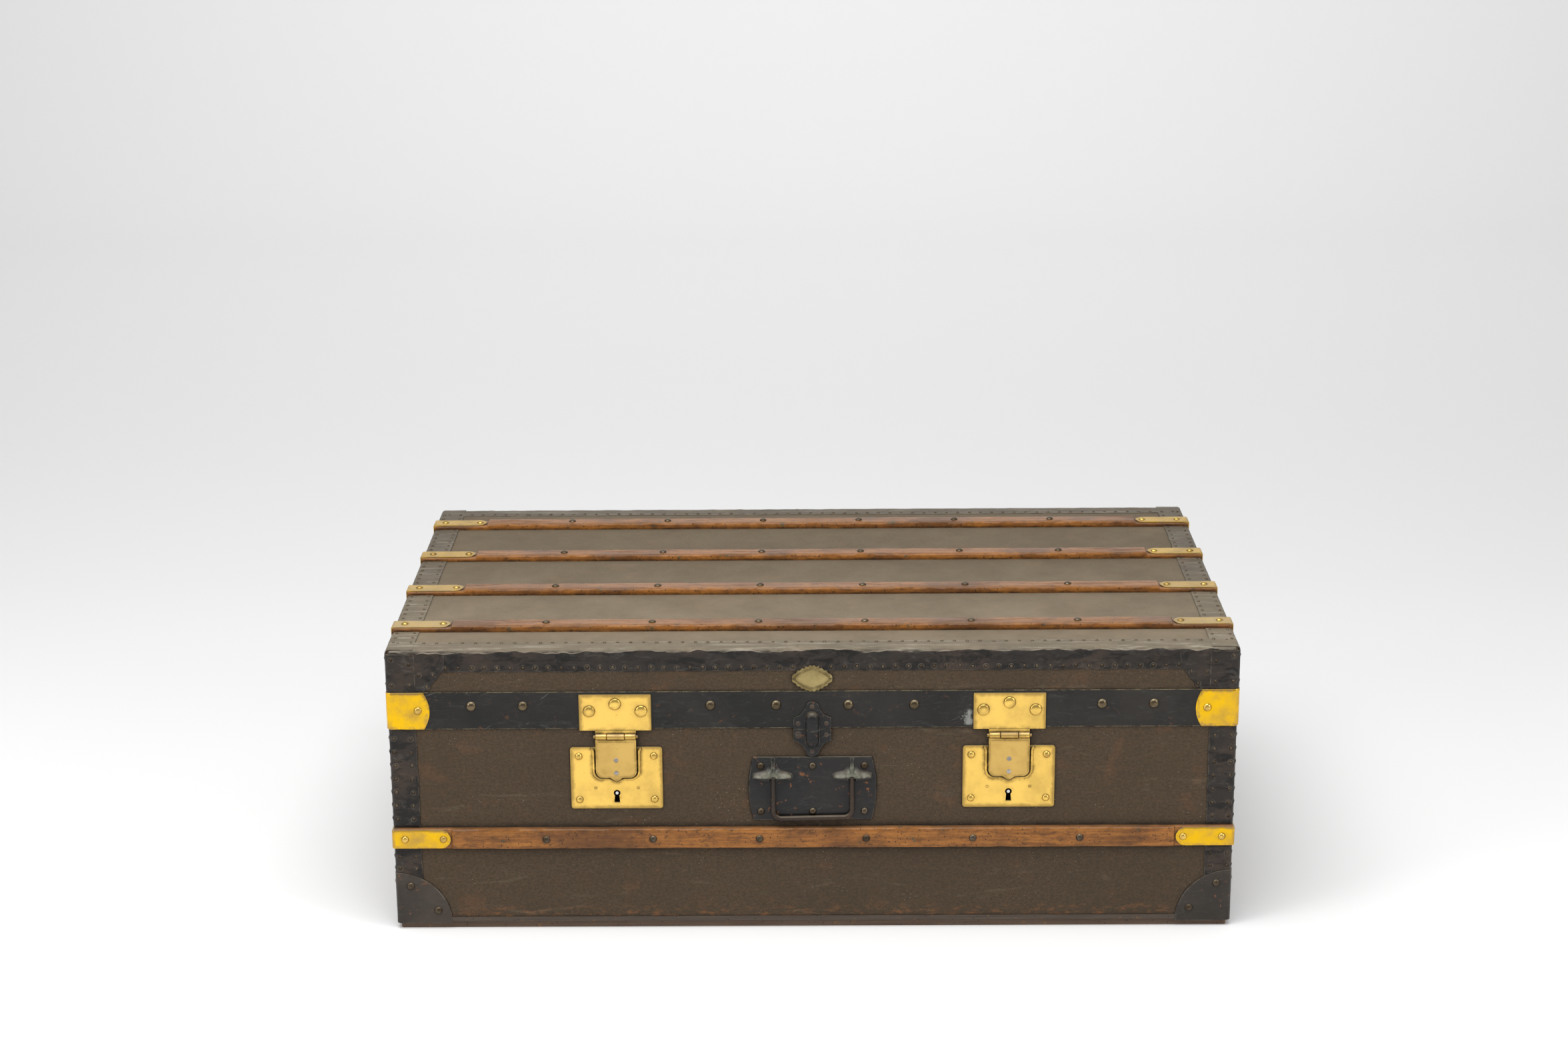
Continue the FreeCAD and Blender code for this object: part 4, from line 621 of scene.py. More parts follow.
def finish_slat(effects, colours):
    """Worn orange-brown slats with dark streaks, worm holes and paler edges."""
    green_paint, soot_and_shade = (0.040, 0.062, 0.040, 1.0), (0.020, 0.010, 0.005, 1.0)
    bare, hole, brown_dust = (0.42, 0.22, 0.085, 1.0), (0.01, 0.006, 0.004, 1.0), (0.24, 0.145, 0.085, 1.0)
    material, graph, shader = new_finish("slat wood", specular_ior_level=0.30)
    grain = graph.group(effects.grain, Scale=1.0)
    place = graph.place()
    light = toned(colours.slat, 1.65, 1.9, 1.7)
    colour = graph.mix(graph.between(grain["Grain"], 0.25, 0.75), colours.slat, light)
    mottle = graph.between(graph.streaks(place, (70.0, 190.0, 190.0), 8.0, 0.8, 0.3), 0.44, 0.70)
    stain = graph.mask(effects.blotches, Scale=12.0, Low=0.42, High=0.64)
    flecks = graph.between(graph.streaks(place, (130.0, 260.0, 260.0), 4.0, 0.7), 0.60, 0.68)
    for darkened, share in ((mottle, 0.78), (grain["Streaks"], 0.45), (stain, 0.66), (flecks, 0.8)):
        colour = graph.tint(colour, darkened, share, colours.slat_dark)
    paint = graph.mask(effects.blotches, Scale=48.0, Low=0.64, High=0.69)
    colour = graph.tint(colour, paint, 0.7, green_paint)
    # Painted shade and grime: soot-dark where the slat meets canvas, clamps and nails.
    colour = graph.mix(graph.mask(effects.grime_and_shade, Distance=5.0 * MM, Scale=60.0, Amount=0.8), colour, soot_and_shade)
    worn = graph.mask(effects.edge_wear, Radius=1.6 * MM, Scale=60.0, Amount=0.55)
    colour = graph.mix(grain["Holes"], graph.mix(worn, colour, bare), hole)
    dust = graph.mask(effects.dust, Scale=20.0, Amount=0.30)
    graph.feed(shader["Base Color"], graph.mix(dust, colour, brown_dust))
    graph.feed(shader["Roughness"], graph.scaled(grain["Streaks"], 0.2, 0.30))
    relief = graph.minus(grain["Grain"], graph.times(grain["Holes"], 3.0))
    relief = graph.minus(relief, graph.times(grain["Streaks"], 0.4))
    graph.feed(shader["Normal"], graph.bump(relief, 0.25 * MM, 0.8))
    return material


def finish_board(name, base, effects, holes=0.0):
    """Plain sawn wood, worm-eaten if holes is above 0."""
    rust, hole = (0.24, 0.11, 0.030, 1.0), (0.006, 0.004, 0.003, 1.0)
    material, graph, shader = new_finish(name, roughness=0.7)
    grain = graph.group(effects.grain, Scale=1.1)
    dark = toned(base, 0.60, 0.55, 0.50)
    colour = graph.tint(base, grain["Streaks"], 0.6, dark)
    colour = graph.mix(graph.between(grain["Grain"], 0.35, 0.8), colour, dark)
    if holes > 0.0:
        rusty = graph.mask(effects.blotches, Scale=150.0, Low=0.60, High=0.70)
        colour = graph.tint(colour, rusty, 0.6, rust)
        colour = graph.tint(colour, grain["Holes"], holes, hole)
    graph.feed(shader["Base Color"], colour)
    graph.feed(shader["Normal"], graph.bump(grain["Grain"], 0.2 * MM, 0.7))
    return material


def finish_paper(effects, colours):
    """Aged lining paper with faint stripes and foxing."""
    brown, printed, repeat = (0.34, 0.22, 0.12, 1.0), (0.42, 0.30, 0.20, 1.0), 18.0 * MM
    material, graph, shader = new_finish("lining paper", roughness=0.92)
    across, _, place = flat_place(graph)
    stripe = graph.math("SINE", graph.times(across, 2 * math.pi / repeat))
    colour = graph.tint(colours.paper, graph.between(stripe, 0.75, 0.9), 0.5, printed)
    foxing = graph.mask(effects.blotches, Scale=34.0, Low=0.62, High=0.75)
    colour = graph.tint(colour, foxing, 0.6, brown)
    stain = graph.mask(effects.blotches, Scale=4.0, Low=0.4, High=0.8)
    graph.feed(shader["Base Color"], graph.tint(colour, stain, 0.35, brown))
    graph.feed(shader["Normal"], graph.bump(graph.noise(place, 60.0, 5.0), 0.25 * MM, 0.5))
    return material


def finish_steel(effects):
    """Bright worn steel."""
    bright, dull = (0.50, 0.47, 0.43, 1.0), (0.16, 0.135, 0.11, 1.0)
    material, graph, shader = new_finish("steel", metallic=1.0)
    cloudy = graph.mask(effects.blotches, Scale=160.0, Low=0.3, High=0.8)
    graph.feed(shader["Base Color"], graph.mix(cloudy, bright, dull))
    graph.feed(shader["Roughness"], graph.scaled(cloudy, 0.25, 0.25))
    return material


def finish_case(effects):
    """The lock case: dark inside, with the bright pin that the key fits over."""
    black, brown, bright = (0.012, 0.010, 0.008, 1.0), (0.035, 0.026, 0.018, 1.0), (0.66, 0.65, 0.63, 1.0)
    pin_radius = 2.1 * MM
    material, graph, shader = new_finish("lock case", metallic=1.0)
    at = graph.split(graph.unsigned(graph.place()))
    aside, above = graph.minus(at[0], LOCK_OFFSET), graph.minus(at[2], KEY_PIN_Z)
    away = graph.math("SQRT", graph.plus(graph.times(aside, aside), graph.times(above, above)))
    pin = graph.math("LESS_THAN", away, pin_radius)
    cloudy = graph.mask(effects.blotches, Scale=160.0, Low=0.3, High=0.8)
    graph.feed(shader["Base Color"], graph.mix(pin, graph.mix(cloudy, black, brown), bright))
    graph.feed(shader["Roughness"], graph.blend(pin, 0.6, 0.25))
    return material


FINISHES = {}
SLOTS = {finish: slot for slot, finishes in {
    "brass": ("hasp_plate_brass", "lock_plate_brass", "hasp_brass", "stud_brass", "cap_brass",
              "label_brass"),
    "iron": ("nail_bronze", "painted_iron", "handle_iron", "bail_iron", "rusty_rivet"),
    "board_wood": ("old_board", "old_strip"),
    "edge_binding": ("peeled_leather",),
    "steel": ("lock_case",),
}.items() for finish in finishes}


def make_finishes(context):
    """Build every finish under its name. SLOTS gives the record's slot where that is another name."""
    colours = context.scene.trunk_colours
    effects = Effects()
    FINISHES["canvas"] = finish_canvas(effects, context.scene.trunk_sizes, colours)
    FINISHES["edge_binding"] = finish_leather("binding", effects, colours)
    FINISHES["peeled_leather"] = finish_leather("peeled binding", effects, colours, peeled=True)
    FINISHES["slat_wood"] = finish_slat(effects, colours)
    FINISHES["lining_paper"] = finish_paper(effects, colours)
    FINISHES["steel"] = finish_steel(effects)
    FINISHES["lock_case"] = finish_case(effects)

    FINISHES["board_wood"] = finish_board("board wood", colours.board, effects)
    old_board, old_strip = (0.115, 0.072, 0.045, 1.0), (0.070, 0.052, 0.037, 1.0)
    FINISHES["old_board"] = finish_board("old board", old_board, effects, holes=1.0)
    FINISHES["old_strip"] = finish_board("old strip", old_strip, effects, holes=1.0)

    iron, band_edge = colours.iron, (0.50, 0.42, 0.24, 1.0)
    grey, brown, rivet = (0.030, 0.0255, 0.0215, 1.0), (0.024, 0.017, 0.013, 1.0), (0.042, 0.031, 0.025, 1.0)
    for finish, name, base, rusty, scratched, more in (
            ("black_band", "band lacquer", colours.band, 0.35, 0.8, {"rubbed": band_edge, "bloom": BLOOM}),
            ("iron", "iron lacquer", iron, 1.0, 0.3, {}),
            ("painted_iron", "painted iron", grey, 0.9, 0.5, {}),
            ("handle_iron", "handle iron", iron, 1.6, 0.4, {"pressed": 0.8}),
            ("bail_iron", "bail iron", brown, 2.0, 0.5, {}),
            ("rusty_rivet", "rivet iron", rivet, 1.5, 0.3, {})):
        FINISHES[finish] = finish_lacquer(name, base, effects, colours, rusty, scratched, **more)

    brass, patina, dark = colours.brass, colours.brass_patina, colours.dark_brass
    gold, gold_patina = (0.82, 0.48, 0.012, 1.0), (0.42, 0.26, 0.080, 1.0)
    bronze, bronze_patina = (0.115, 0.090, 0.065, 1.0), (0.05, 0.035, 0.022, 1.0)
    hasp = toned(brass, 0.74, 0.74, 0.95)
    olive, olive_patina = toned(brass, 0.48, 0.58, 1.10), (0.17, 0.125, 0.050, 1.0)
    for finish, base, tarnished, tarnish, gloss, more in (
            ("brass", brass, patina, 0.55, 0.20, {}),
            ("hasp_plate_brass", brass, patina, 0.55, 0.20, {"plate": "hasp_plate_right"}),
            ("lock_plate_brass", brass, patina, 0.55, 0.20, {"plate": "lock_plate_right"}),
            ("hasp_brass", hasp, patina, 0.75, 0.30, {}),
            ("stud_brass", brass, patina, 0.5, 0.16, {"dusty": 0.12}),
            ("cap_brass", gold, gold_patina, 0.8, 0.20, {"dusty": 0.8}),
            ("label_brass", olive, olive_patina, 0.9, 0.38, {}),
            ("dark_brass", dark, toned(dark, 0.4, 0.4, 0.4), 0.7, 0.15, {}),
            ("nail_bronze", bronze, bronze_patina, 0.8, 0.26, {"dusty": 0.25})):
        name = finish.replace("_", " ")
        FINISHES[finish] = finish_brass(name, base, tarnished, effects, tarnish, gloss, **more)


# Geometry: sheets, domes, bars, wires and plates

class Face:
    """One face of the trunk: u to the right as seen from outside, v up or back, w outward."""

    def __init__(self, origin, right, up):
        self.origin, self.right, self.up = Vector(origin), Vector(right), Vector(up)
        self.out = self.right.cross(self.up)

    def at(self, u, v, w=0.0):
        """The point in the trunk's frame."""
        return self.origin + u * self.right + v * self.up + w * self.out

    def beside(self, u):
        """The same face with its origin moved along it."""
        return Face(self.origin + u * self.right, self.right, self.up)


FACES = {
    "front": Face((0, -HALF_DEPTH, 0), (1, 0, 0), (0, 0, 1)),
    "back": Face((0, HALF_DEPTH, 0), (-1, 0, 0), (0, 0, 1)),
    "left": Face((-HALF_WIDTH, 0, 0), (0, -1, 0), (0, 0, 1)),
    "right": Face((HALF_WIDTH, 0, 0), (0, 1, 0), (0, 0, 1)),
    "top": Face((0, 0, TOP), (1, 0, 0), (0, 1, 0)),
}


def ripple(place, size, seed=0.0):
    """Smooth noise from -1 to 1 whose waves are about that size."""
    return noise.noise(Vector(place) / size + Vector((seed, 2.3 * seed, -seed)))


def clamped(value):
    """A value held between 0 and 1."""
    return max(0.0, min(1.0, value))


def steps(start, end, pitch):
    """Evenly spaced values from start to end, about a pitch apart."""
    count = max(1, round(abs(end - start) / pitch))
    return [start + (end - start) * k / count for k in range(count + 1)]


def quarter(parts):
    """The turns of a quarter circle, without its start."""
    return [math.pi / 2 * k / parts for k in range(1, parts + 1)]


def show(name, bm, finish, body, *replaced, weighted=True):
    """Make a piece of a bmesh, smooth but for its sharp edges, in place of the nodes it replaces."""
    sharp = math.radians(38.0)
    bmesh.ops.recalc_face_normals(bm, faces=bm.faces)
    for face in bm.faces:
        face.smooth = True
    for edge in bm.edges:
        if len(edge.link_faces) == 2:
            edge.smooth = edge.calc_face_angle(0.0) < sharp
    mesh = bpy.data.meshes.new(name)
    bm.to_mesh(mesh)
    bm.free()
    mesh.materials.append(FINISHES[finish])
    piece = bpy.data.objects.new(name, mesh)
    bpy.context.scene.collection.objects.link(piece)
    if weighted:
        modifier = piece.modifiers.new("weighted normals", "WEIGHTED_NORMAL")
        modifier.keep_sharp = True
    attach(piece, body)
    if replaced:
        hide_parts(*replaced)
    SLOTS.get(finish, finish)


def square_to(out):
    """Two directions square to one and to each other."""
    right = out.orthogonal().normalized()
    return right, out.cross(right)


def ring(bm, centre, right, up, radius, sides):
    """Vertices on a circle round a centre, in the plane of two directions."""
    turns = (2 * math.pi * k / sides for k in range(sides))
    return [bm.verts.new(centre + radius * (math.cos(a) * right + math.sin(a) * up)) for a in turns]


def skin(bm, rings):
    """Faces from each ring to the next."""
    for low, high in zip(rings, rings[1:]):
        for k in range(len(low)):
            bm.faces.new((low[k - 1], low[k], high[k], high[k - 1]))


def close_rings(bm, rings):
    """Faces from each ring to the next, and over both ends."""
    skin(bm, rings)
    bm.faces.new(rings[0])
    bm.faces.new(rings[-1])


RIM = 0.55  # share of a sheet's thickness at which the bevel of its rim starts


def rim_rows(low, high, bevel, pitch):
    """Places across a sheet, with the share of its thickness that each stands at."""
    inner = [(place, 1.0) for place in steps(low + bevel, high - bevel, pitch)]
    return [(low, 0.0), (low, RIM)] + inner + [(high, RIM), (high, 0.0)]


def bent_columns(line):
    """The first and last place along a line of points, and every one where it turns."""
    straight = 1e-4 * MM * MM
    turns = [k for k in range(1, len(line) - 1)
             if (line[k] - line[k - 1]).cross(line[k + 1] - line[k]).length > straight]
    return [0] + turns + [len(line) - 1]


def close_underneath(bm, grid, below):
    """Join the rims of a sheet underneath, with no more columns than its bends need."""
    last = len(grid) - 1
    kept = bent_columns(below[last // 2])
    under = [line if r in (0, last) else
             {c: line[c] if c in (kept[0], kept[-1]) else bm.verts.new(below[r][c]) for c in kept}
             for r, line in enumerate(grid)]
    spans = list(zip(kept, kept[1:]))
    for near, far in zip(under[1:last], under[2:last]):
        for a, b in spans:
            bm.faces.new((near[a], near[b], far[b], far[a]))
    for rim, inner in ((under[0], under[1]), (under[last], under[last - 1])):
        for a, b in spans:
            for c in range(a, b):
                bm.faces.new((rim[c], rim[c + 1], inner[a]))
            bm.faces.new((rim[b], inner[b], inner[a]))
    sheet = {vert for line in grid for vert in line} | {line[c] for line in under[1:last] for c in kept}
    bmesh.ops.remove_doubles(bm, verts=list(sheet), dist=1e-3 * MM)


def lay_sheet(bm, rows, columns, point, thickness, bump=None):
    """A closed sheet with a bevelled rim; point(s, t, w) places it, and bump(s, t) adds to its height."""
    grid = []
    for s, level_s in rows:
        line = []
        for t, level_t in columns:
            level = min(level_s, level_t)
            height = level * thickness - (SUNK if level == 0.0 else 0.0)
            if bump is not None and level > 0.0:
                height += bump(s, t) * level
            line.append(bm.verts.new(point(s, t, height)))
        grid.append(line)
    for low, high in zip(grid, grid[1:]):
        for a, b, c, d in zip(low, low[1:], high[1:], high):
            bm.faces.new((a, b, c, d))
    close_underneath(bm, grid, [[point(s, t, -SUNK) for t, _ in columns] for s, _ in rows])


def fold(first, second, corner, radius=CORNER):
    """Lead a distance from one face over a rounded edge to the next: a place and an outward turn.

    The edge runs through `corner` along the faces' shared direction. `first` and `second` are the
    outward directions of the two faces. Distance 0 is the middle of the bend.
    """
    half_bend = radius * math.pi / 4
    first, second = Vector(first), Vector(second)
    middle = Vector(corner) - radius * (first + second)

    def place(distance, w):
        if abs(distance) <= half_bend:
            angle = math.pi / 4 + distance / radius
            return middle + (radius + w) * (first * math.cos(angle) + second * math.sin(angle))
        if distance < 0:
            return middle + (radius + w) * first + (distance + half_bend) * second
        return middle + (radius + w) * second - (distance - half_bend) * first

    return place


def arc(reach, radius=CORNER):
    """How far from the middle of a bend a point lies that is `reach` from the sharp edge."""
    return reach - radius + radius * math.pi / 4


# Profiles: shares of the radius and of the height
DOME = ((1.0, -0.15), (1.0, 0.10), (0.96, 0.24), (0.88, 0.44), (0.74, 0.66), (0.55, 0.84), (0.30, 0.96))
FLAT_DOME = ((1.0, -0.15), (1.0, 0.30), (0.95, 0.48), (0.86, 0.66), (0.70, 0.82), (0.48, 0.94), (0.24, 0.99))
COLLAR = ((2.05, -0.3), (1.95, 0.10), (1.62, 0.32), (1.30, 0.20), (1.02, -0.25))


def profile_rings(bm, foot, out, radius, height, sides, profile, squash=1.0):
    """Rings round an axis, each at a share of the radius and of the height."""
    right, up = square_to(out)
    return [ring(bm, foot + rise * height * out, right, squash * up, share * radius, sides)
            for share, rise in profile]


def add_dome(bm, foot, out, radius, height, sides, profile=DOME, squash=1.0):
    """A stud's round head, its foot a little inside its plate."""
    out = out.normalized()
    rings = profile_rings(bm, foot, out, radius, height, sides, profile, squash)
    skin(bm, rings)
    bm.faces.new(rings[0])
    top = bm.verts.new(foot + height * out)
    for k in range(sides):
        bm.faces.new((rings[-1][k - 1], rings[-1][k], top))


def add_collar(bm, foot, out, radius, height, sides):
    """The ring of leather that a driven tack pushes up round itself."""
    rings = profile_rings(bm, foot, out, radius, height, sides, COLLAR)
    skin(bm, rings + rings[:1])


def add_bar(bm, start, end, radius, sides=20):
    """A round bar with slightly rounded ends."""
    along = (end - start).normalized()
    right, up = square_to(along)
    soft, drawn_in = 0.18 * radius * along, 0.82
    places = ((start, drawn_in), (start + soft, 1.0), (end - soft, 1.0), (end, drawn_in))
    close_rings(bm, [ring(bm, centre, right, up, share * radius, sides) for centre, share in places])


def add_wire(bm, points, radius, sides=16):
    """A round wire along a path of points, its ends closed; radius may change along it."""
    side = (points[1] - points[0]).orthogonal()
    last = len(points) - 1
    rings = []
    for k, point in enumerate(points):
        along = (points[min(k + 1, last)] - points[max(k - 1, 0)]).normalized()
        side = (side - side.dot(along) * along).normalized()
        thick = radius(k / last) if callable(radius) else radius
        rings.append(ring(bm, point, side, along.cross(side), thick, sides))
    close_rings(bm, rings)


def solids_of(node):
    """The corner points of each separate solid of a CAD node."""
    bm = bmesh.new()
    bm.from_mesh(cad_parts[node].data)
    bmesh.ops.remove_doubles(bm, verts=bm.verts, dist=1e-3 * MM)
    found, seen = [], set()
    for start in bm.verts:
        if start in seen:
            continue
        waiting, points = [start], []
        seen.add(start)
        while waiting:
            vert = waiting.pop()
            points.append(vert.co.copy())
            for edge in vert.link_edges:
                other = edge.other_vert(vert)
                if other not in seen:
                    seen.add(other)
                    waiting.append(other)
        found.append(points)
    bm.free()
    return found


def studs_of(node):
    """Foot, outward direction, radius and height of every stud of a CAD node."""
    solids = solids_of(node)
    if not solids:
        raise RuntimeError(f"{node} holds no studs")
    for points in solids:
        low = Vector([min(p[k] for p in points) for k in range(3)])
        high = Vector([max(p[k] for p in points) for k in range(3)])
        size, middle = high - low, (high + low) / 2
        thin = min(range(3), key=lambda k: size[k])
        out = Vector((0, 0, 0))
        out[thin] = 1.0 if middle[thin] > 0 else -1.0
        wide = max(size[k] for k in range(3) if k != thin)
        yield middle - out * size[thin] / 2, out, wide / 2, size[thin]


def rectangle(half, low, high):
    """The corners of an upright rectangle."""
    return [(half, high), (-half, high), (-half, low), (half, low)]


def rounded_corners(points, radii, pitch=0.5 * MM):
    """A closed outline whose corners are rounded, one radius to each corner."""
    outline = []
    for k, radius in enumerate(radii):
        corner = Vector(points[k])
        if radius <= 0.0:
            outline.append(corner)
            continue
        before = (Vector(points[k - 1]) - corner).normalized()
        after = (Vector(points[(k + 1) % len(points)]) - corner).normalized()
        half = before.angle(after) / 2
        reach = radius / math.tan(half)
        centre = corner + (before + after).normalized() * (radius / math.sin(half))
        start, end = corner + before * reach - centre, corner + after * reach - centre
        turn = start.angle_signed(end)
        bends = max(3, round(abs(turn) * radius / pitch))
        for n in range(bends + 1):
            cos, sin = math.cos(turn * n / bends), -math.sin(turn * n / bends)
            outline.append(centre + Vector((cos * start.x - sin * start.y, sin * start.x + cos * start.y)))
    return outline


def fill_rims(bm):
    """Close every open loop of edges with a flat face, round what lies inside it."""
    open_edges = [edge for edge in bm.edges if len(edge.link_faces) < 2]
    bmesh.ops.triangle_fill(bm, use_beauty=True, use_dissolve=False, edges=open_edges)


def add_plate(bm, outline, face, low, high, bevel, holes=()):
    """Cut a plate to an outline on a face; bevelled round its outer rim and its holes."""
    plate = bmesh.new()
    for loop in (outline, *holes):
        rim = [plate.verts.new((p[0], p[1], high)) for p in loop]
        for k, vert in enumerate(rim):
            plate.edges.new((rim[k - 1], vert))
    fill_rims(plate)
    for piece in plate.faces:
        piece.normal_update()
        if piece.normal.z < 0:
            piece.normal_flip()
    rim = [edge for edge in plate.edges if len(edge.link_faces) == 1]
    made = bmesh.ops.extrude_edge_only(plate, edges=rim)["geom"]
    for vert in (item for item in made if isinstance(item, bmesh.types.BMVert)):
        vert.co.z = low
    near, square = 1e-4 * MM, 1.0
    top_rim = [edge for edge in plate.edges if len(edge.link_faces) == 2
               and all(abs(vert.co.z - high) < near for vert in edge.verts)
               and edge.calc_face_angle(0.0) > square]
    bmesh.ops.bevel(plate, geom=top_rim, offset=bevel, segments=3, profile=0.5, affect="EDGES",
                    clamp_overlap=True)
    fill_rims(plate)
    for vert in plate.verts:
        vert.co = face.at(*vert.co)
    mesh = bpy.data.meshes.new("cut")
    plate.to_mesh(mesh)
    plate.free()
    bm.from_mesh(mesh)
    bpy.data.meshes.remove(mesh)


# Slats, clamps and studs

class TRUNK_OT_studs(bpy.types.Operator):
    """Put a smooth round head on every stud, nail and rivet"""

    bl_idname = "trunk.studs"
    bl_label = "Studs and nails"

    def execute(self, context):
        sides = context.scene.trunk_sizes.dome_sides
        broad_stud, slimmer, lower, roundness = 6.5 * MM, 0.985, 0.97, 0.97
        groups = (
            ("body_slat_nails", "nail_bronze", "trunk"), ("body_brass_studs", "stud_brass", "trunk"),
            ("body_iron_studs", "nail_bronze", "trunk"), ("lid_slat_nails", "nail_bronze", "lid"),
            ("lid_brass_studs", "stud_brass", "lid"), ("band_studs", "dark_brass", "lid"))
        for node, finish, body in groups:
            bm = bmesh.new()
            for foot, out, radius, height in studs_of(node):
                profile = FLAT_DOME if radius > broad_stud else DOME
                lean = Vector([ripple(foot, 9 * MM, k + 1.0) for k in range(3)])
                add_dome(bm, foot, out + 0.10 * lean, radius * slimmer, height * lower, sides, profile,
                         roundness + 0.03 * lean.x)
            show(node + "_heads", bm, finish, body, node, weighted=False)
        return {"FINISHED"}


def slat_sheet(bm, face, middle, sizes, seed):
    """One worn slat: rounded long edges, dents, and thinner ends under the clamps."""
    half, width, rise, thinned = HALF_WIDTH, 13.0 * MM, 8.0 * MM, 2.4 * MM
    notch, step, deepest_chip = 431 * MM, 2 * MM, 1.3 * MM
    edge = [(-1.0, -0.06), (-1.0, 0.35), (-0.985, 0.66), (-0.93, 0.88), (-0.82, 0.985),
            (-0.6, 1.0), (-0.3, 1.0)]
    rows = edge + [(0.0, 1.0)] + [(-share, level) for share, level in reversed(edge)]
    columns = steps(-half + 1 * MM, half - 1 * MM, 5 * MM) + [-half, half]
    columns += [side * place for side in (-1, 1) for place in (notch - step, notch)]

    def point(u, share, level):
        """The slat's surface at a distance along it, a share of its width and of its thickness."""
        v = share * width
        thin = clamped((abs(u) - notch + step) / step)
        thick = rise - thinned * thin
        chip = max(0.0, ripple((u, v * 3, 0), 14 * MM, seed) - 0.15) * abs(share) ** 3 * 1.5
        wave = ripple((u, v, 0), 40 * MM, seed + 7) * 0.5 * sizes.wood_dent if level > 0.5 else 0.0
        height = level * thick - chip * deepest_chip * (1 - thin) + wave
        slim = 1.0 - 0.05 * max(0.0, ripple((u, v * 5, 1), 22 * MM, seed + 3)) * (1 - thin)
        return face.at(u, middle + v * slim, min(height, thick))

    close_rings(bm, [[bm.verts.new(point(u, *row)) for row in rows] for u in sorted(columns)])


class TRUNK_OT_slats(bpy.types.Operator):
    """Make the worn wooden slats of lid and body"""

    bl_idname = "trunk.slats"
    bl_label = "Slats"

    def execute(self, context):
        sizes = context.scene.trunk_sizes
        slats = [("body_front_slat", "front", "trunk"), ("body_back_slat", "back", "trunk")]
        slats += [(node, "top", "lid") for node in LID_SLATS]
        for seed, (node, face, body) in enumerate(slats):
            middle = middle_of(node)
            bm = bmesh.new()
            slat_sheet(bm, FACES[face], middle.y if face == "top" else middle.z, sizes, 3.0 * seed)
            show(node + "_worn", bm, "slat_wood", body, node)
        return {"FINISHED"}


UNDER_CLAMP = 5.6 * MM  # thickness of a slat's end under its clamp


def clamp_sheet(bm, first, second, corner, along, seed):
    """A brass clamp: over the slat's end and down the end face, both ends half round."""
    half, reach, leg, thick, bend = 11.6 * MM, 69.0 * MM, 30.0 * MM, 1.2 * MM, 1.2 * MM
    place = fold(first, second, corner, bend)
    start, end = -arc(reach, bend), arc(leg + UNDER_CLAMP, bend)
    rounding, middle = [0, 0.15, 0.6, 1.4, 2.6, 4.4, 6.8, 9.8, 13], 17 * MM
    columns = [(start + inward * MM, float(inward > 0)) for inward in rounding]
    columns += [(end - inward * MM, float(inward > 0)) for inward in rounding]
    columns += [(t, 1.0) for t in steps(start + middle, end - middle, 2.5 * MM)]
    columns += [(t * MM, 1.0) for t in (-0.9, -0.45, 0.0, 0.45, 0.9)]
    edge = [(-1.0, 0.0), (-1.0, RIM), (-0.93, 0.95), (-0.8, 1.0), (-0.4, 1.0)]
    rows = edge + [(0.0, 1.0)] + [(-s, level) for s, level in reversed(edge)]

    def width(t):
        """Half the clamp's width at a distance along it."""
        tip = min(t - start, end - t)
        return half if tip >= half else half * math.sqrt(max(0.0, 1 - (1 - tip / half) ** 2))

    def point(s, t, w):
        return place(t, w) + Vector(along) * s * max(width(t), 0.2 * MM)

    def dent(s, t):
        return ripple((s * half, t, 0), 9 * MM, seed) * 0.14 * MM

    lay_sheet(bm, rows, sorted(columns), point, thick, dent)


class TRUNK_OT_clamps(bpy.types.Operator):
    """Bend the brass clamps over the slats' ends"""

    bl_idname = "trunk.clamps"
    bl_label = "Slat clamps"

    def execute(self, context):
        body, lid = bmesh.new(), bmesh.new()
        seeds = iter(range(0, 60, 5))
        level = middle_of("body_front_slat").z
        for right in (-1, 1):
            end, across = (right, 0, 0), right * (HALF_WIDTH + BINDING)
            for back in (-1, 1):
                corner = (across, back * (HALF_DEPTH + UNDER_CLAMP), level)
                clamp_sheet(body, (0, back, 0), end, corner, (0, 0, 1), next(seeds))
            for node in LID_SLATS:
                corner = (across, middle_of(node).y, TOP + UNDER_CLAMP)
                clamp_sheet(lid, (0, 0, 1), end, corner, (0, 1, 0), next(seeds))
        show("body_clamps", body, "cap_brass", "trunk", "body_slat_clamps")
        show("lid_clamps", lid, "cap_brass", "lid", "lid_slat_clamps")
        return {"FINISHED"}


# Bindings, patches and corner plates

BENT = 0.2  # share of a folded sheet's half that lies in the bend
TRIM = 0.8 * MM  # width of the bevel along the leather's cut edge


def folded_columns(detail):
    """Shares across a folded sheet, from rim to rim, fine where it bends; each with its level."""
    flat = 0.985
    half = [(share, 1.0) for share in (0.05, 0.10, 0.15)]
    half += [(share, 1.0) for share in steps(BENT, flat, (flat - BENT) / detail)] + [(1.0, RIM), (1.0, 0.0)]
    return [(-share, level) for share, level in reversed(half)] + [(0.0, 1.0)] + half


def spread(share, reach, radius=CORNER):
    """The distance from the middle of the bend for a share from -1 to 1 of the way to the rim."""
    half_bend = radius * math.pi / 4
    if abs(share) <= BENT:
        return share / BENT * half_bend
    flat = max(arc(reach, radius) - half_bend, 0.1 * MM)
    return math.copysign(half_bend + (abs(share) - BENT) / (1 - BENT) * flat, share)


def wrap_edge(bm, first, second, corner, along, rows, reach, foot, thickness, bump, detail=10):
    """A sheet folded over an edge of the trunk; reach(t, side) is how far it goes on each face."""
    place = fold(first, second, corner)

    def point(t, share, w):
        side = 0 if share < 0 else 1
        return place(spread(share, reach(t, side)), foot + w) + Vector(along) * t

    lay_sheet(bm, rows, folded_columns(detail), point, thickness, bump)


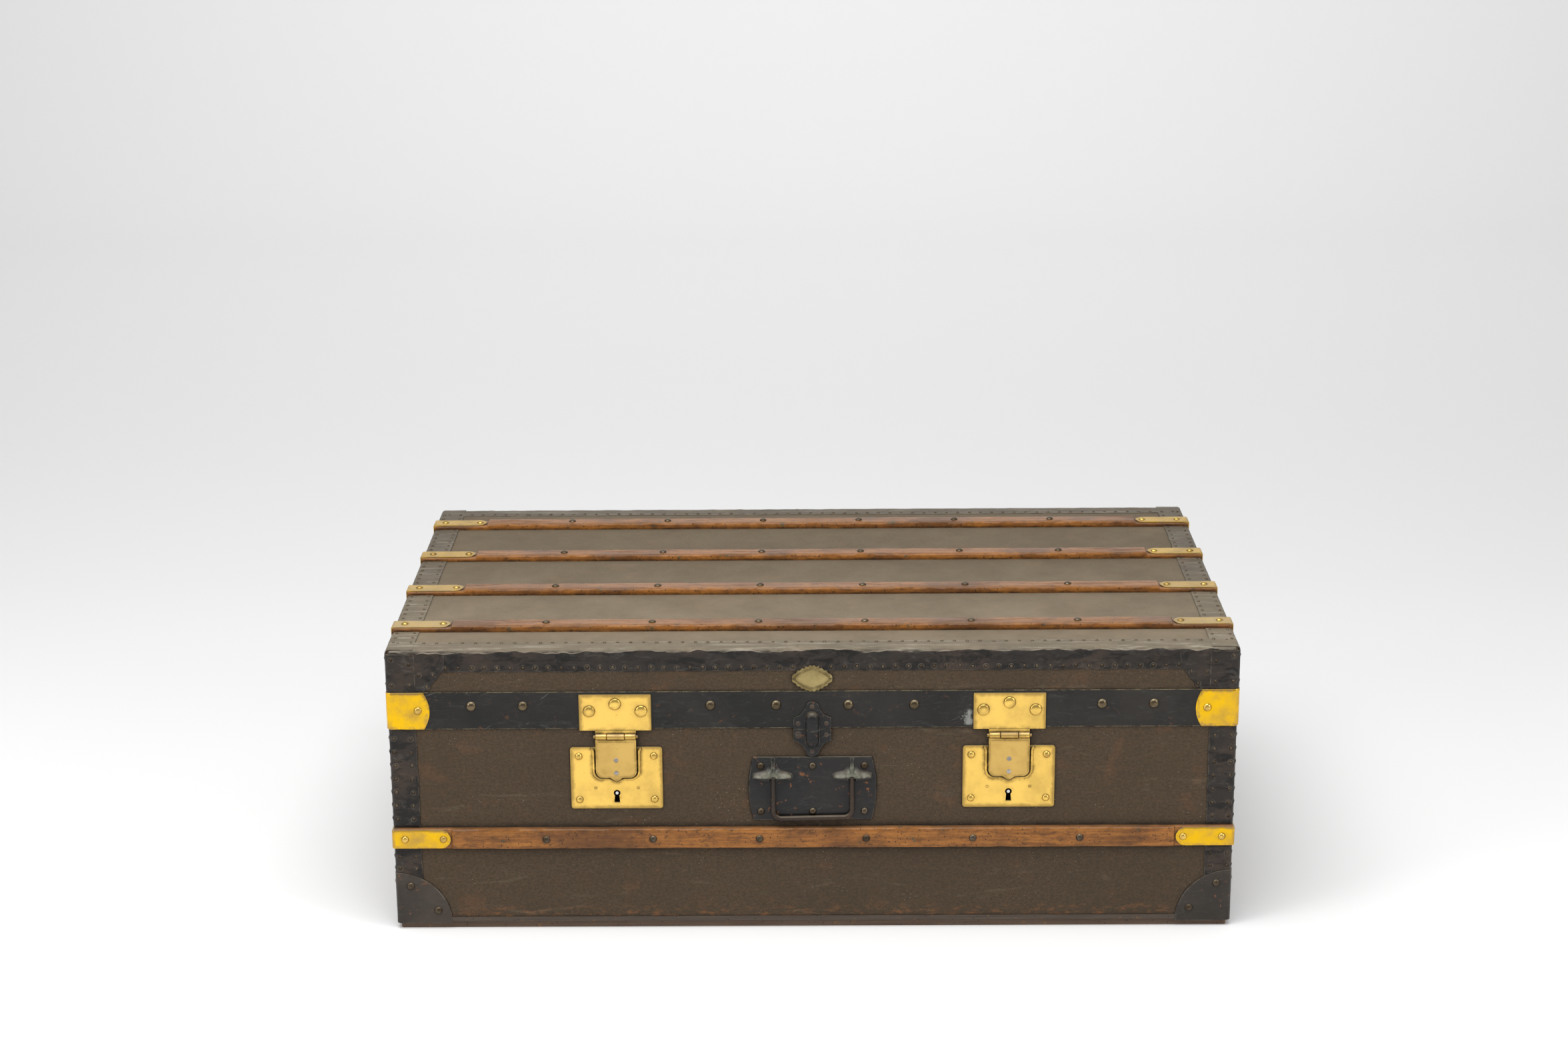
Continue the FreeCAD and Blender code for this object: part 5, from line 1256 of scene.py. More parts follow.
def wrap_upright(bm, right, back, *sheet):
    """A sheet folded round one of the trunk's upright edges."""
    corner = (right * HALF_WIDTH, back * HALF_DEPTH, 0)
    wrap_edge(bm, (right, 0, 0), (0, back, 0), corner, (0, 0, 1), *sheet)


def uneven(length, waviness, size, seed):
    """A reach that wavers along a sheet: a length for both sides, or one for each."""
    lengths = length if isinstance(length, tuple) else (length, length)
    return lambda t, side: lengths[side] + waviness * ripple((t, side, 0), size, seed)


def old_sheet(reach, seed, lift, size=20 * MM):
    """Bumps of old sheet: broad dents everywhere, and waves that lift along its rims."""
    def bump(t, share):
        rim = max(0.0, abs(share) - 0.45) / 0.55
        wave = ripple((t, share * reach, 0), size, seed)
        dent = ripple((t, share * reach, 1), 0.45 * size, seed + 4)
        return 0.18 * MM * dent + lift * rim * (0.3 + max(0.0, wave))
    return bump


def upright_bindings(bm, sizes):
    """Leather strips folded round the body's upright edges, above and below the slats."""
    gap, foot = 0.2 * MM, 50 * MM
    for right, back in UPRIGHTS:
        for low, high in ((foot, SLAT_LOW - gap), (SLAT_HIGH + gap, BODY_TOP)):
            seed = right * 3.0 + back * 5.0 + low * 40
            wrap_upright(bm, right, back, rim_rows(low, high, TRIM, 5 * MM),
                         uneven(STRIP, 0.7 * MM, 26 * MM, seed), 0.0, BINDING,
                         old_sheet(STRIP, seed, 0.5 * sizes.crinkle))


def crinkle_line(t, seed):
    """Where the crinkle runs along the fold of a long binding, as a share of its front part."""
    drop = 0.16 * max(0.0, ripple((t, 5, 0), 64 * MM, seed + 4) - 0.15)
    sway = 0.17 * ripple((t, 0, 0), 38 * MM, seed + 2) + 0.09 * ripple((t, 0, 0), 11 * MM, seed)
    return 0.12 + sway + drop


def crinkle_rise(t, seed):
    """How strongly the crinkle stands up along the fold."""
    return 0.35 + 0.9 * abs(ripple((t, 0, 0), 26 * MM, seed + 3))


def peeled_edge(bm, back, seed, sizes):
    """The pale curled edge where the coating of a long binding has peeled along its crinkle."""
    place = fold((0, 0, 1), (0, back, 0), (0, back * HALF_DEPTH, TOP))
    run = HALF_WIDTH - 36 * MM
    points = []
    for t in steps(-run, run, 1.6 * MM):
        share = crinkle_line(t, seed) + 0.012 * ripple((t, 3, 0), 5 * MM, seed)
        out = BINDING + sizes.crinkle * 1.42 * crinkle_rise(t, seed)
        points.append(place(spread(share, LID_DROP), out) + Vector((t, 0, 0)))

    def thick(share):
        t = -run + 2 * run * share
        return (0.08 + 0.85 * max(0.0, ripple((t, 1, 0), 21 * MM, seed + 5) + 0.15)) * MM

    add_wire(bm, points, thick, 8)


def hill(place, middle, spread_out):
    """A smooth hill of height 1 round a middle."""
    return math.exp(-((place - middle) / spread_out) ** 2)


def crinkled(seed, crinkle):
    """Bumps of a long binding: the crinkle along its fold, the sag under it, dents and fold marks."""
    front = 27 * MM

    def bump(t, share):
        ridge = hill(share, crinkle_line(t, seed), 0.055)
        sag = max(0.0, share) * hill(share, 0.4, 0.2)
        dent = ripple((t, share * front, 1), 16 * MM, seed + 9) + 0.4 * ripple((t, share * front, 2), 6 * MM)
        fold_mark = ripple((1.6 * t, share * 60 * MM, 3), 17 * MM, seed + 6)
        return (crinkle * (1.5 * crinkle_rise(t, seed) * ridge - 0.9 * sag) + 0.34 * MM * dent * (1 - ridge)
                + 0.85 * MM * hill(share, 0.45, 0.22) * abs(fold_mark))
    return bump


def lid_long_bindings(bm, sizes):
    """Leather folded over the lid's front and back edges, crinkled along the fold."""
    half = HALF_WIDTH - 4 * MM
    for back in (-1, 1):
        seed = 11.0 * back
        rows, bump = rim_rows(-half, half, TRIM, 2 * MM), crinkled(seed, sizes.crinkle)
        reach = uneven((LID_FRONT_STRIP, LID_DROP), 0.6 * MM, 30 * MM, seed)
        wrap_edge(bm, (0, 0, 1), (0, back, 0), (0, back * HALF_DEPTH, TOP), (1, 0, 0), rows, reach, 0.0,
                  BINDING, bump, 26)


def between_slats(gap, inset):
    """Start and end of each stretch of the lid's depth that its slats leave free."""
    borders = [-HALF_DEPTH + inset]
    for slat in LID_SLAT_PLACES:
        borders += [slat - gap, slat + gap]
    borders.append(HALF_DEPTH - inset)
    return list(zip(borders[::2], borders[1::2]))


END_FOOT = 0.35 * MM  # how far the lid's end bindings lie above the canvas


def lid_end_bindings(bm, sizes):
    """Leather folded over the lid's end edges, between the slats."""
    for right in (-1, 1):
        for low, high in between_slats(13.2 * MM, 1 * MM):
            seed = right * 7.0 + low * 13
            wrap_edge(bm, (0, 0, 1), (right, 0, 0), (right * HALF_WIDTH, 0, TOP), (0, 1, 0),
                      rim_rows(low, high, TRIM, 4 * MM), uneven((STRIP, LID_DROP), 0.7 * MM, 24 * MM, seed),
                      END_FOOT, BINDING, old_sheet(STRIP, seed, 0.6 * sizes.crinkle))


def corner_patches(bm, sizes):
    """Leather patches round the lid's upright corners, under a strip with its own seam."""
    foot, top = BAND_HIGH + 1 * MM, TOP - CORNER - 0.5 * MM
    strip = 33 * MM
    for right, back in UPRIGHTS:
        seed = right * 2.0 + back * 9.0

        def reach(t, side, seed=seed):
            share = (t - foot) / (top - foot)
            bow = 7 * MM * 4 * share * (1 - share)
            return (43.5 + 25.5 * share) * MM + bow + 0.4 * MM * ripple((t, side, 0), 12 * MM, seed)

        wrap_upright(bm, right, back, rim_rows(foot, top, TRIM, 3 * MM), reach, 0.5 * MM, BINDING,
                     old_sheet(60 * MM, seed, 0.25 * sizes.crinkle), 16)
        wrap_upright(bm, right, back, rim_rows(foot, top, 0.6 * MM, 3 * MM), lambda t, side: strip,
                     0.9 * MM, BINDING, old_sheet(strip, seed + 1, 0.2 * sizes.crinkle))


class TRUNK_OT_bindings(bpy.types.Operator):
    """Fold the leather bindings and patches over the edges"""

    bl_idname = "trunk.bindings"
    bl_label = "Bindings and patches"

    def execute(self, context):
        sizes = context.scene.trunk_sizes
        body, edges, patches, peeled = bmesh.new(), bmesh.new(), bmesh.new(), bmesh.new()
        upright_bindings(body, sizes)
        lid_long_bindings(edges, sizes)
        lid_end_bindings(edges, sizes)
        corner_patches(patches, sizes)
        for back in (-1, 1):
            peeled_edge(peeled, back, 11.0 * back, sizes)
        show("body_bindings", body, "edge_binding", "trunk", "body_corner_bindings", weighted=False)
        show("lid_bindings", edges, "edge_binding", "lid", "lid_edge_bindings", weighted=False)
        show("lid_peeled_edges", peeled, "peeled_leather", "lid", weighted=False)
        show("lid_patches", patches, "edge_binding", "lid", "lid_corner_patches", weighted=False)
        return {"FINISHED"}


def band_cap_reach(t, side):
    """How far a brass cap goes along each face at height t: bowed in the middle."""
    share = (t - BAND_LOW) / (BAND_HIGH - BAND_LOW)
    return (42 + 7 * (1 - (2 * share - 1) ** 2)) * MM


class TRUNK_OT_corner_plates(bpy.types.Operator):
    """Bend the iron base corners and the brass caps of the band"""

    bl_idname = "trunk.corner_plates"
    bl_label = "Corner plates and caps"

    def execute(self, context):
        bases, caps = bmesh.new(), bmesh.new()
        low, high = (corner.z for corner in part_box("base_corner_plates"))
        radius, least, top = 65.9 * MM, 4.1 * MM, high - 0.1 * MM
        turns = [math.pi / 2 * k / 26 for k in range(27)]
        base_rows = [(low, 0.0), (low, RIM)]
        base_rows += [(low + radius * math.sin(turn) * 0.997 + 0.4 * MM * (1 - turn), 1.0) for turn in turns]
        base_rows += [(top, RIM), (top, 0.0)]
        cap_rows = rim_rows(BAND_LOW, BAND_HIGH, 0.6 * MM, 2.5 * MM)

        def quarter_round(t, side):
            return max(least, math.sqrt(max(0.0, radius ** 2 - (t - low) ** 2)))

        for right, back in UPRIGHTS:
            seed = right * 6.0 + back * 4.0
            wrap_upright(bases, right, back, base_rows, quarter_round, 0.0, 1.6 * MM,
                         old_sheet(60 * MM, seed, 0.2 * MM, 30 * MM), 14)
            wrap_upright(caps, right, back, cap_rows, band_cap_reach, BAND, 1.0 * MM,
                         old_sheet(45 * MM, seed + 2, 0.0, 34 * MM), 12)
        show("base_corners", bases, "painted_iron", "trunk", "base_corner_plates", weighted=False)
        show("brass_caps", caps, "cap_brass", "lid", "band_caps", weighted=False)
        return {"FINISHED"}


# Tacks

def tack_places(sizes):
    """Face, u, v and height of the leather under every small tack, for body and lid."""
    body, lid = [], []
    top_tack, base_tacks, columns = 244.7 * MM, [94 * MM, 78 * MM], (5.5 * MM, 25 * MM)
    heights = [top_tack - k * sizes.upright_tack_pitch for k in range(7)] + base_tacks
    patch_tacks = ((38, 324), (55, 325), (47, 310), (6, 344), (27, 338), (27, 312), (6, 312))
    strip = 33
    for right, back in UPRIGHTS:
        end, near = ("right", 1) if right > 0 else ("left", -1)
        face = "back" if back > 0 else "front"
        flip = -back * right
        for height in heights:
            for inset in columns:
                body.append((face, flip * (HALF_WIDTH - inset), height, BINDING))
                body.append((end, near * back * (HALF_DEPTH - inset), height, BINDING))
        for inset, height in patch_tacks:
            under = 2 * BINDING if inset < strip else 1.6 * BINDING
            lid.append((face, flip * (HALF_WIDTH - inset * MM), height * MM, under))
            lid.append((end, near * back * (HALF_DEPTH - inset * MM), height * MM, under))
    side_row, top_row = LID_STRIP_FOOT + 4.7 * MM, HALF_DEPTH - 22.8 * MM
    side_run, top_run = HALF_WIDTH - 70 * MM, HALF_WIDTH - 12 * MM
    for u in steps(-side_run, side_run, sizes.tack_pitch):
        lid += [("front", u, side_row, BINDING), ("back", u, side_row, BINDING)]
    for u in steps(-top_run, top_run, sizes.tack_pitch):
        lid += [("top", u, -top_row, BINDING), ("top", u, top_row, BINDING)]
    end_row, end_run, under = LID_STRIP_FOOT + 5 * MM, HALF_DEPTH - 65 * MM, BINDING + END_FOOT
    for low, high in between_slats(19 * MM, 26 * MM):
        for v in steps(low, high, 1.1 * sizes.tack_pitch):
            for right in (-1, 1):
                for inset in (6 * MM, 27 * MM):
                    lid.append(("top", right * (HALF_WIDTH - inset), v, under))
                if abs(v) < end_run:
                    lid.append(("right" if right > 0 else "left", right * v, end_row, under))
    return {"trunk": body, "lid": lid}


class TRUNK_OT_tacks(bpy.types.Operator):
    """Drive the small tacks through the bindings"""

    bl_idname = "trunk.tacks"
    bl_label = "Binding tacks"

    def execute(self, context):
        sizes = context.scene.trunk_sizes
        for body, places in tack_places(sizes).items():
            heads, collars = bmesh.new(), bmesh.new()
            for name, u, v, under in places:
                face = FACES[name]
                stray = Vector((ripple((u, v, 3), 7 * MM, 1.0), ripple((u, v, 5), 7 * MM, 2.0))) * 0.8 * MM
                foot = face.at(u + stray.x, v + stray.y, under)
                lean = Vector([ripple(foot, 5 * MM, k + 3.0) for k in range(3)])
                radius = sizes.tack_radius * (1 + 0.12 * lean.x)
                add_dome(heads, foot, face.out + 0.15 * lean, radius, 0.62 * radius, 12)
                add_collar(collars, foot, face.out, radius, 0.9 * MM, 16)
            show(body + "_tacks", heads, "nail_bronze", body, weighted=False)
            show(body + "_tack_rings", collars, "edge_binding", body, weighted=False)
        return {"FINISHED"}


# Locks

PIVOT_Z, PIVOT_OUT = 247.4 * MM, 3.9 * MM  # the hasps' axis: above the floor, out of the front
KNUCKLE = 10.5 * MM  # half the length of a hasp's middle knuckle
HASP_FOOT = 195.6 * MM  # height of a hasp's lower edge
STAPLE_FEET = (217.8 * MM, 201.7 * MM)  # heights of the staple's two ends


def hasp_outline(top):
    """The hasp's outline: round lower corners and a small tip between them."""
    half, corner, tip, narrow, drop = 24 * MM, 8 * MM, 7 * MM, 3.15 * MM, 3.2 * MM
    points = [(half, top), (-half, top), (-half, HASP_FOOT), (-tip, HASP_FOOT), (-narrow, HASP_FOOT - drop),
              (narrow, HASP_FOOT - drop), (tip, HASP_FOOT), (half, HASP_FOOT)]
    inner, outer = 1.5 * MM, 2.5 * MM
    return rounded_corners(points, [0, 0, corner, inner, outer, outer, inner, corner])


def hasp_shape(bm, face):
    """The swinging hasp: plate, middle knuckle, and the staple on its back."""
    back, front, top, knuckle_radius, wire = 1.8 * MM, 4.3 * MM, PIVOT_Z - 3.9 * MM, 3.6 * MM, 1.65 * MM
    add_plate(bm, hasp_outline(top), face, back, front, 0.7 * MM)
    add_plate(bm, rectangle(KNUCKLE, top - 1 * MM, PIVOT_Z), face, back, front, 0.3 * MM)
    add_bar(bm, face.at(-KNUCKLE, PIVOT_Z, PIVOT_OUT), face.at(KNUCKLE, PIVOT_Z, PIVOT_OUT), knuckle_radius)
    panel = rectangle(22.4 * MM, HASP_FOOT + 1.6 * MM, top - 3 * MM)
    panel = rounded_corners(panel, [0.5 * MM, 0.5 * MM, 6.5 * MM, 6.5 * MM])
    add_plate(bm, panel, face, front - 0.2 * MM, front + 0.25 * MM, 0.2 * MM)
    high, low = STAPLE_FEET
    half_loop = ((0.0, 2.8), (0.0, -4.6), (1.5, -6.2), (4.8, -6.4))
    loop = [(high - inward * MM, out * MM) for inward, out in half_loop]
    loop += [(low + inward * MM, out * MM) for inward, out in reversed(half_loop)]
    add_wire(bm, [face.at(0, v, out) for v, out in loop], wire, 12)


def hasp_rivets(bm, face):
    """The bright riveted ends of the staple."""
    for v in STAPLE_FEET:
        add_dome(bm, face.at(0, v, 4.5 * MM), face.out, 2.7 * MM, 0.75 * MM, 20, FLAT_DOME)


def hasp_plate_shape(bm, face):
    """The plate on the band that carries the hasp: bevelled, with a neck and two knuckles."""
    low, high, half, neck, gap, corner = 255 * MM, 300 * MM, 42.5 * MM, 24 * MM, 10.7 * MM, 0.8 * MM
    slot, knuckle_radius = PIVOT_Z + 3.9 * MM, 3.55 * MM
    outline = rounded_corners(rectangle(half, low, high), [corner] * 4)
    add_plate(bm, outline, face, BAND, BAND + PLATE, 1.0 * MM)
    collar = [(neck, low + 1 * MM), (-neck, low + 1 * MM), (-neck, PIVOT_Z), (-gap, PIVOT_Z), (-gap, slot),
              (gap, slot), (gap, PIVOT_Z), (neck, PIVOT_Z)]
    add_plate(bm, collar, face, BAND, BAND + PLATE, 0.25 * MM)
    for start, end in ((-neck, -gap), (gap, neck)):
        add_bar(bm, face.at(start, PIVOT_Z, PIVOT_OUT), face.at(end, PIVOT_Z, PIVOT_OUT), knuckle_radius)


def border_path(high):
    """Half of the raised border on a lock plate, from beside the hasp to the point under it."""
    side, corner, foot = 26.8 * MM, 10.5 * MM, HASP_FOOT - 2.7 * MM
    path = [(30 * MM, high - 2.0 * MM), (28.4 * MM, high - 2.6 * MM), (27.3 * MM, high - 4.0 * MM),
            (side, high - 6.5 * MM)]
    path += [(side, v) for v in steps(high - 9 * MM, foot + corner, 3 * MM)]
    path += [(side - corner * (1 - math.cos(a)), foot + corner * (1 - math.sin(a))) for a in quarter(8)]
    tip = ((12, 0.0), (8.6, 0.3), (5.6, 1.5), (3.2, 3.2), (0.0, 4.6))
    return path + [(u * MM, foot - drop * MM) for u, drop in tip]


def lock_plate_shape(bm, face):
    """The lock plate with keyhole, staple slot and the soft raised border round the hasp."""
    low, high, half, corner = 155.5 * MM, 233.5 * MM, 54.5 * MM, 3.5 * MM
    eye, radius, foot, drop = 175.1 * MM, 4 * MM, 3.4 * MM, 12 * MM
    turns = [math.radians(a) for a in range(-48, 229, 12)]
    keyhole = [(radius * math.cos(a), eye + radius * math.sin(a)) for a in turns]
    keyhole += [(-foot, eye - drop), (foot, eye - drop)]
    slot = rectangle(2.9 * MM, 196.3 * MM, 220.7 * MM)
    outline = rounded_corners(rectangle(half, low, high), [corner] * 4)
    add_plate(bm, outline, face, 0.0, PLATE, 0.6 * MM, (keyhole, slot))

    def thick(share):
        """The border's radius: it closes to a thin point under the hasp."""
        return (2.1 - 1.2 * max(0.0, 2 * share - 1.25)) * MM

    for mirror in (-1, 1):
        add_wire(bm, [face.at(mirror * u, v, PLATE - 0.55 * MM) for u, v in border_path(high)], thick, 14)


class TRUNK_OT_locks(bpy.types.Operator):
    """Make both locks: plates, hinged hasps, rivets"""

    bl_idname = "trunk.locks"
    bl_label = "Locks"

    def execute(self, context):
        for side, word in ((-1, "left"), (1, "right")):
            face = FACES["front"].beside(side * LOCK_OFFSET)
            hasp, holder, plate, rivets = bmesh.new(), bmesh.new(), bmesh.new(), bmesh.new()
            hasp_shape(hasp, face)
            hasp_plate_shape(holder, face)
            lock_plate_shape(plate, face)
            hasp_rivets(rivets, face)
            body = "hasp_" + word
            show(body + "_leaf", hasp, "hasp_brass", body, body)
            show("hasp_holder_" + word, holder, "hasp_plate_brass", "lid", "hasp_plate_" + word)
            show("lock_front_" + word, plate, "lock_plate_brass", "trunk", "lock_plate_" + word)
            show(body + "_rivets", rivets, "steel", body, weighted=False)
        return {"FINISHED"}


# Dowel

def dowel_outline(way, split):
    """One half's outline: upright flanks, hollow shoulders and a round tip."""
    start, shoulder, neck, tip, half, narrow, hollow, parts = 0.15, 14.5, 27.0, 34.5, 22.0, 8.0, 2.3, 8
    side = [(half, start), (half, shoulder - 1.0)]
    for k in range(parts + 1):
        share = k / parts
        bend = hollow * math.sin(math.pi * share) * (1 - 0.35 * share)
        across = half + (narrow - half) * share
        side.append((across - bend, shoulder + (neck - shoulder) * share - 0.8 * bend))
    side += [(narrow * math.cos(a), neck + (tip - neck) * math.sin(a)) for a in quarter(parts)]
    right = [(u * MM, split + way * v * MM) for u, v in side]
    return right + [(-u, v) for u, v in reversed(right[:-1])]


def dowel_barrel(bm, face, way, split, under):
    """The round-ended barrel."""
    radius, rise, proud, sunk = 8.4 * MM, 14 * MM, 7.9 * MM, 0.2 * MM
    turns = [math.pi * k / 24 for k in range(25)]
    upright = [(v * MM, radius) for v in (0.15, 3, 6, 9, 12, 14)]
    round_end = [(rise + radius * math.sin(a), radius * math.cos(a)) for a in quarter(8)[:-1]]
    rings = []
    for v, wide in upright + round_end:
        points = [(wide * math.cos(a), proud * (wide / radius * math.sin(a)) ** 0.9) for a in turns]
        rings.append([bm.verts.new(face.at(u, split + way * v, under - sunk + w)) for u, w in points])
    close_rings(bm, rings)


class TRUNK_OT_dowel(bpy.types.Operator):
    """Make the two-piece dowel that lines lid and body up"""

    bl_idname = "trunk.dowel"
    bl_label = "Dowel"

    def execute(self, context):
        front, split, level = FACES["front"], 255.5 * MM, 3.1 * MM
        aside, shoulder, neck, bolt_out = 16.6 * MM, 7 * MM, 28 * MM, level + 3.6 * MM
        for way, body, node, under in ((1, "lid", "dowel_upper", BAND), (-1, "trunk", "dowel_lower", 0.0)):
            bm, heads = bmesh.new(), bmesh.new()
            add_plate(bm, dowel_outline(way, split), front, under, level, 0.7 * MM)
            dowel_barrel(bm, front, way, split, level)
            rivets = [(0.0, neck), (aside, shoulder)]
            if way > 0:
                add_bar(bm, front.at(0, split, bolt_out), front.at(0, split - 9 * MM, bolt_out), 2.9 * MM)
                rivets.append((-aside, shoulder))
            show(node + "_iron", bm, "iron", body, node)
            for u, v in rivets:
                add_dome(heads, front.at(u, split + way * v, level), front.out, 2.9 * MM, 1.0 * MM, 16)
            if way < 0:
                screw = front.at(-aside, split - shoulder, level)
                add_dome(heads, screw, front.out, 4.4 * MM, 0.9 * MM, 24, FLAT_DOME)
                # The screw's slot is painted shadow: a thin dark iron bar laid over the head where a cut
                # groove would be in shade.
                shadow_bar = ((3.9, 0.75), (-3.9, 0.35), (-3.9, -0.75), (3.9, -0.35))
                outline = [(u * MM - aside, split - shoulder + v * MM) for u, v in shadow_bar]
                slot = bmesh.new()
                add_plate(slot, outline, front, level + 0.4 * MM, level + 0.98 * MM, 0.1 * MM)
                show("dowel_screw_slot_shadow", slot, "iron", body)
            show(node + "_rivets", heads, "rusty_rivet", body, weighted=False)
        return {"FINISHED"}


# Handles

HANDLE_Z, HANDLE_HALF_RISE = 180.2 * MM, 40.3 * MM  # a handle plate's middle, and half its height
EAR_U, BAIL_Z = 46.7 * MM, 195.6 * MM  # the bail's pivots: from the middle, above the floor


def ear_height(u, v):
    """How far the pressed ears stand out of a handle plate: two wings and a twin ridge above."""
    wing, high, mouth_wide, mouth_high, ramp = 23.0, 7.4, 4.8, 1.6, 1.5
    across, leg, rise = (abs(u) - 47.5 * MM) / MM, (abs(u) - EAR_U) / MM, (v - BAIL_Z) / MM
    share = abs(across) / wing
    if share >= 1.0:
        return 0.0
    round_off = math.sqrt(1 - share ** 2.6)
    lower = 0.5 + 5.6 * round_off
    if rise >= 0:
        upper = 2.5 + 5.0 * round_off + 17.5 * math.exp(-(abs(leg) / 4.6) ** 1.25)
        part = min(1.0, rise / upper)
        height = (1 - part) ** 1.25 * (1 + 0.35 * part)
    else:
        height = (1 - min(1.0, -rise / lower) ** 2.2) ** 0.6
    height *= high * round_off ** 0.55
    mouth = min(mouth_wide - abs(leg), mouth_high - 0.12 * leg ** 2 - rise)
    shut = clamped(1 - mouth / ramp)
    ridge = 1.3 * hill(abs(leg), 1.7, 0.95) * clamped((rise - 5) / 6) * clamped((25.5 - rise) / 3)
    lip = 0.9 * hill(rise, -0.86 * lower, 1.1) * round_off
    return (height + ridge + lip) * shut * shut * (3 - 2 * shut) * MM


def handle_plate_shape(bm, face, seed):
    """A handle plate with bowed ends and two pressed ears."""
    thick, ends, middle, flat = 2.0 * MM, 70.3 * MM, 76.0 * MM, 0.992

    def reach(v):
        share = (v - HANDLE_Z) / HANDLE_HALF_RISE
        return ends + (middle - ends) * (1 - share * share)

    def point(v, share, w):
        return face.at(share * reach(v), v, w)

    def bump(v, share):
        u = share * reach(v)
        return ear_height(u, v) + 0.10 * MM * ripple((u, v, 0), 22 * MM, seed)

    rows = rim_rows(HANDLE_Z - HANDLE_HALF_RISE, HANDLE_Z + HANDLE_HALF_RISE, 0.6 * MM, 0.75 * MM)
    columns = rim_rows(-1.0, 1.0, 1.0 - flat, 0.0085)
    lay_sheet(bm, rows, columns, point, thick, bump)


def bail_shape(bm, face, skew):
    """The wire bail: legs, round corners, a bottom bar that hangs a little askew, and pivots."""
    out, foot, corner, slack = 5.3 * MM, 143.8 * MM, 9.5 * MM, 30 * MM
    pivot, pivot_radius = 8 * MM, 2.4 * MM
    leg = [(-EAR_U, v) for v in steps(BAIL_Z, foot + corner, 4 * MM)]
    leg += [(-EAR_U + corner * (1 - math.cos(a)), foot + corner * (1 - math.sin(a))) for a in quarter(8)]
    bottom = [(u, foot) for u in steps(-EAR_U + corner, EAR_U - corner, 6 * MM)[1:-1]]
    path = leg + bottom + [(-u, v) for u, v in reversed(leg)]
    hang = [(u, v - skew * (u / EAR_U) * min(1.0, (BAIL_Z - v) / slack)) for u, v in path]

    def thick(share):
        return (2.45 + 0.55 * math.sin(math.pi * share) ** 2) * MM

    add_wire(bm, [face.at(u, v, out) for u, v in hang], thick, 18)
    for side in (-1, 1):
        ear = face.beside(side * EAR_U)
        add_bar(bm, ear.at(-pivot, BAIL_Z, out), ear.at(pivot, BAIL_Z, out), pivot_radius)


class TRUNK_OT_handles(bpy.types.Operator):
    """Make the three handles: pressed plates and wire bails"""

    bl_idname = "trunk.handles"
    bl_label = "Handles"

    def execute(self, context):
        front, ends = bmesh.new(), bmesh.new()
        handle_plate_shape(front, FACES["front"], 1.0)
        handle_plate_shape(ends, FACES["left"], 5.0)
        handle_plate_shape(ends, FACES["right"], 9.0)
        show("front_handle_sheet", front, "handle_iron", "trunk", "front_handle_plate", weighted=False)
        show("end_handle_sheets", ends, "handle_iron", "trunk", "end_handle_plates", weighted=False)
        for word, skew in (("front", -0.9 * MM), ("left", 0.4 * MM), ("right", -0.3 * MM)):
            bm = bmesh.new()
            bail_shape(bm, FACES[word], skew)
            show(word + "_bail_wire", bm, "bail_iron", word + "_bail", word + "_bail", weighted=False)
        return {"FINISHED"}


# Hinges and label

class TRUNK_OT_hinges(bpy.types.Operator):
    """Make the leaves of the stop hinges on the back"""

    bl_idname = "trunk.hinges"
    bl_label = "Hinges"

    def execute(self, context):
        axis_out, axis_z, rise, half, knuckle, leaf = 7.5 * MM, 256.75 * MM, 34 * MM, 35 * MM, 4 * MM, 2 * MM
        inner, play, corner, offset = half / 3, 0.1 * MM, 6 * MM, 350 * MM
        holes = ((-24, 13), (0, 25), (24, 13))
        lid_spans = [(-inner + play, inner - play)]
        body_spans = [(-half, -inner - play), (inner + play, half)]
        for way, body, node, under, spans in ((-1, "trunk", "hinge_body_leaves", 0.0, body_spans),
                                              (1, "lid", "hinge_lid_leaves", BAND, lid_spans)):
            leaves, rivets = bmesh.new(), bmesh.new()
            for middle in (-offset, 0.0, offset):
                face = FACES["back"].beside(middle)
                far = axis_z + way * rise
                points = [(half, axis_z), (-half, axis_z), (-half, far), (half, far)]
                outline = rounded_corners(points, [0, 0, corner, corner])
                add_plate(leaves, outline, face, under, under + leaf, 0.5 * MM)
                foot, top = axis_z + way * 0.2 * MM, axis_z + way * 3.6 * MM
                for start, end in spans:
                    first, last = face.at(start, axis_z, axis_out), face.at(end, axis_z, axis_out)
                    add_bar(leaves, first, last, knuckle)
                    web = [(start, foot), (end, foot), (end, top), (start, top)]
                    add_plate(leaves, web, face, under, axis_out, 0.3 * MM)
                for u, v in holes:
                    place = face.at(u * MM, axis_z + way * v * MM, under + leaf)
                    add_dome(rivets, place, face.out, 3.4 * MM, 1.3 * MM, 20)
            show(node + "_iron", leaves, "iron", body, node)
            show(node + "_rivets", rivets, "rusty_rivet", body, weighted=False)
        return {"FINISHED"}


def lozenge(half_width, half_height, inset=0.0, depth=0.0, scallops=20):
    """A pointed lozenge round the origin, its rim drawn in by an inset and by scallops."""
    pointed, parts = 1.45, 192
    rim = []
    for turn in (2 * math.pi * k / parts for k in range(parts)):
        across, up = abs(math.cos(turn)) / half_width, abs(math.sin(turn)) / half_height
        reach = (across ** pointed + up ** pointed) ** (-1 / pointed)
        reach -= inset + depth * (1 - abs(math.sin(scallops * turn / 2)))
        rim.append((reach * math.cos(turn), reach * math.sin(turn)))
    return rim


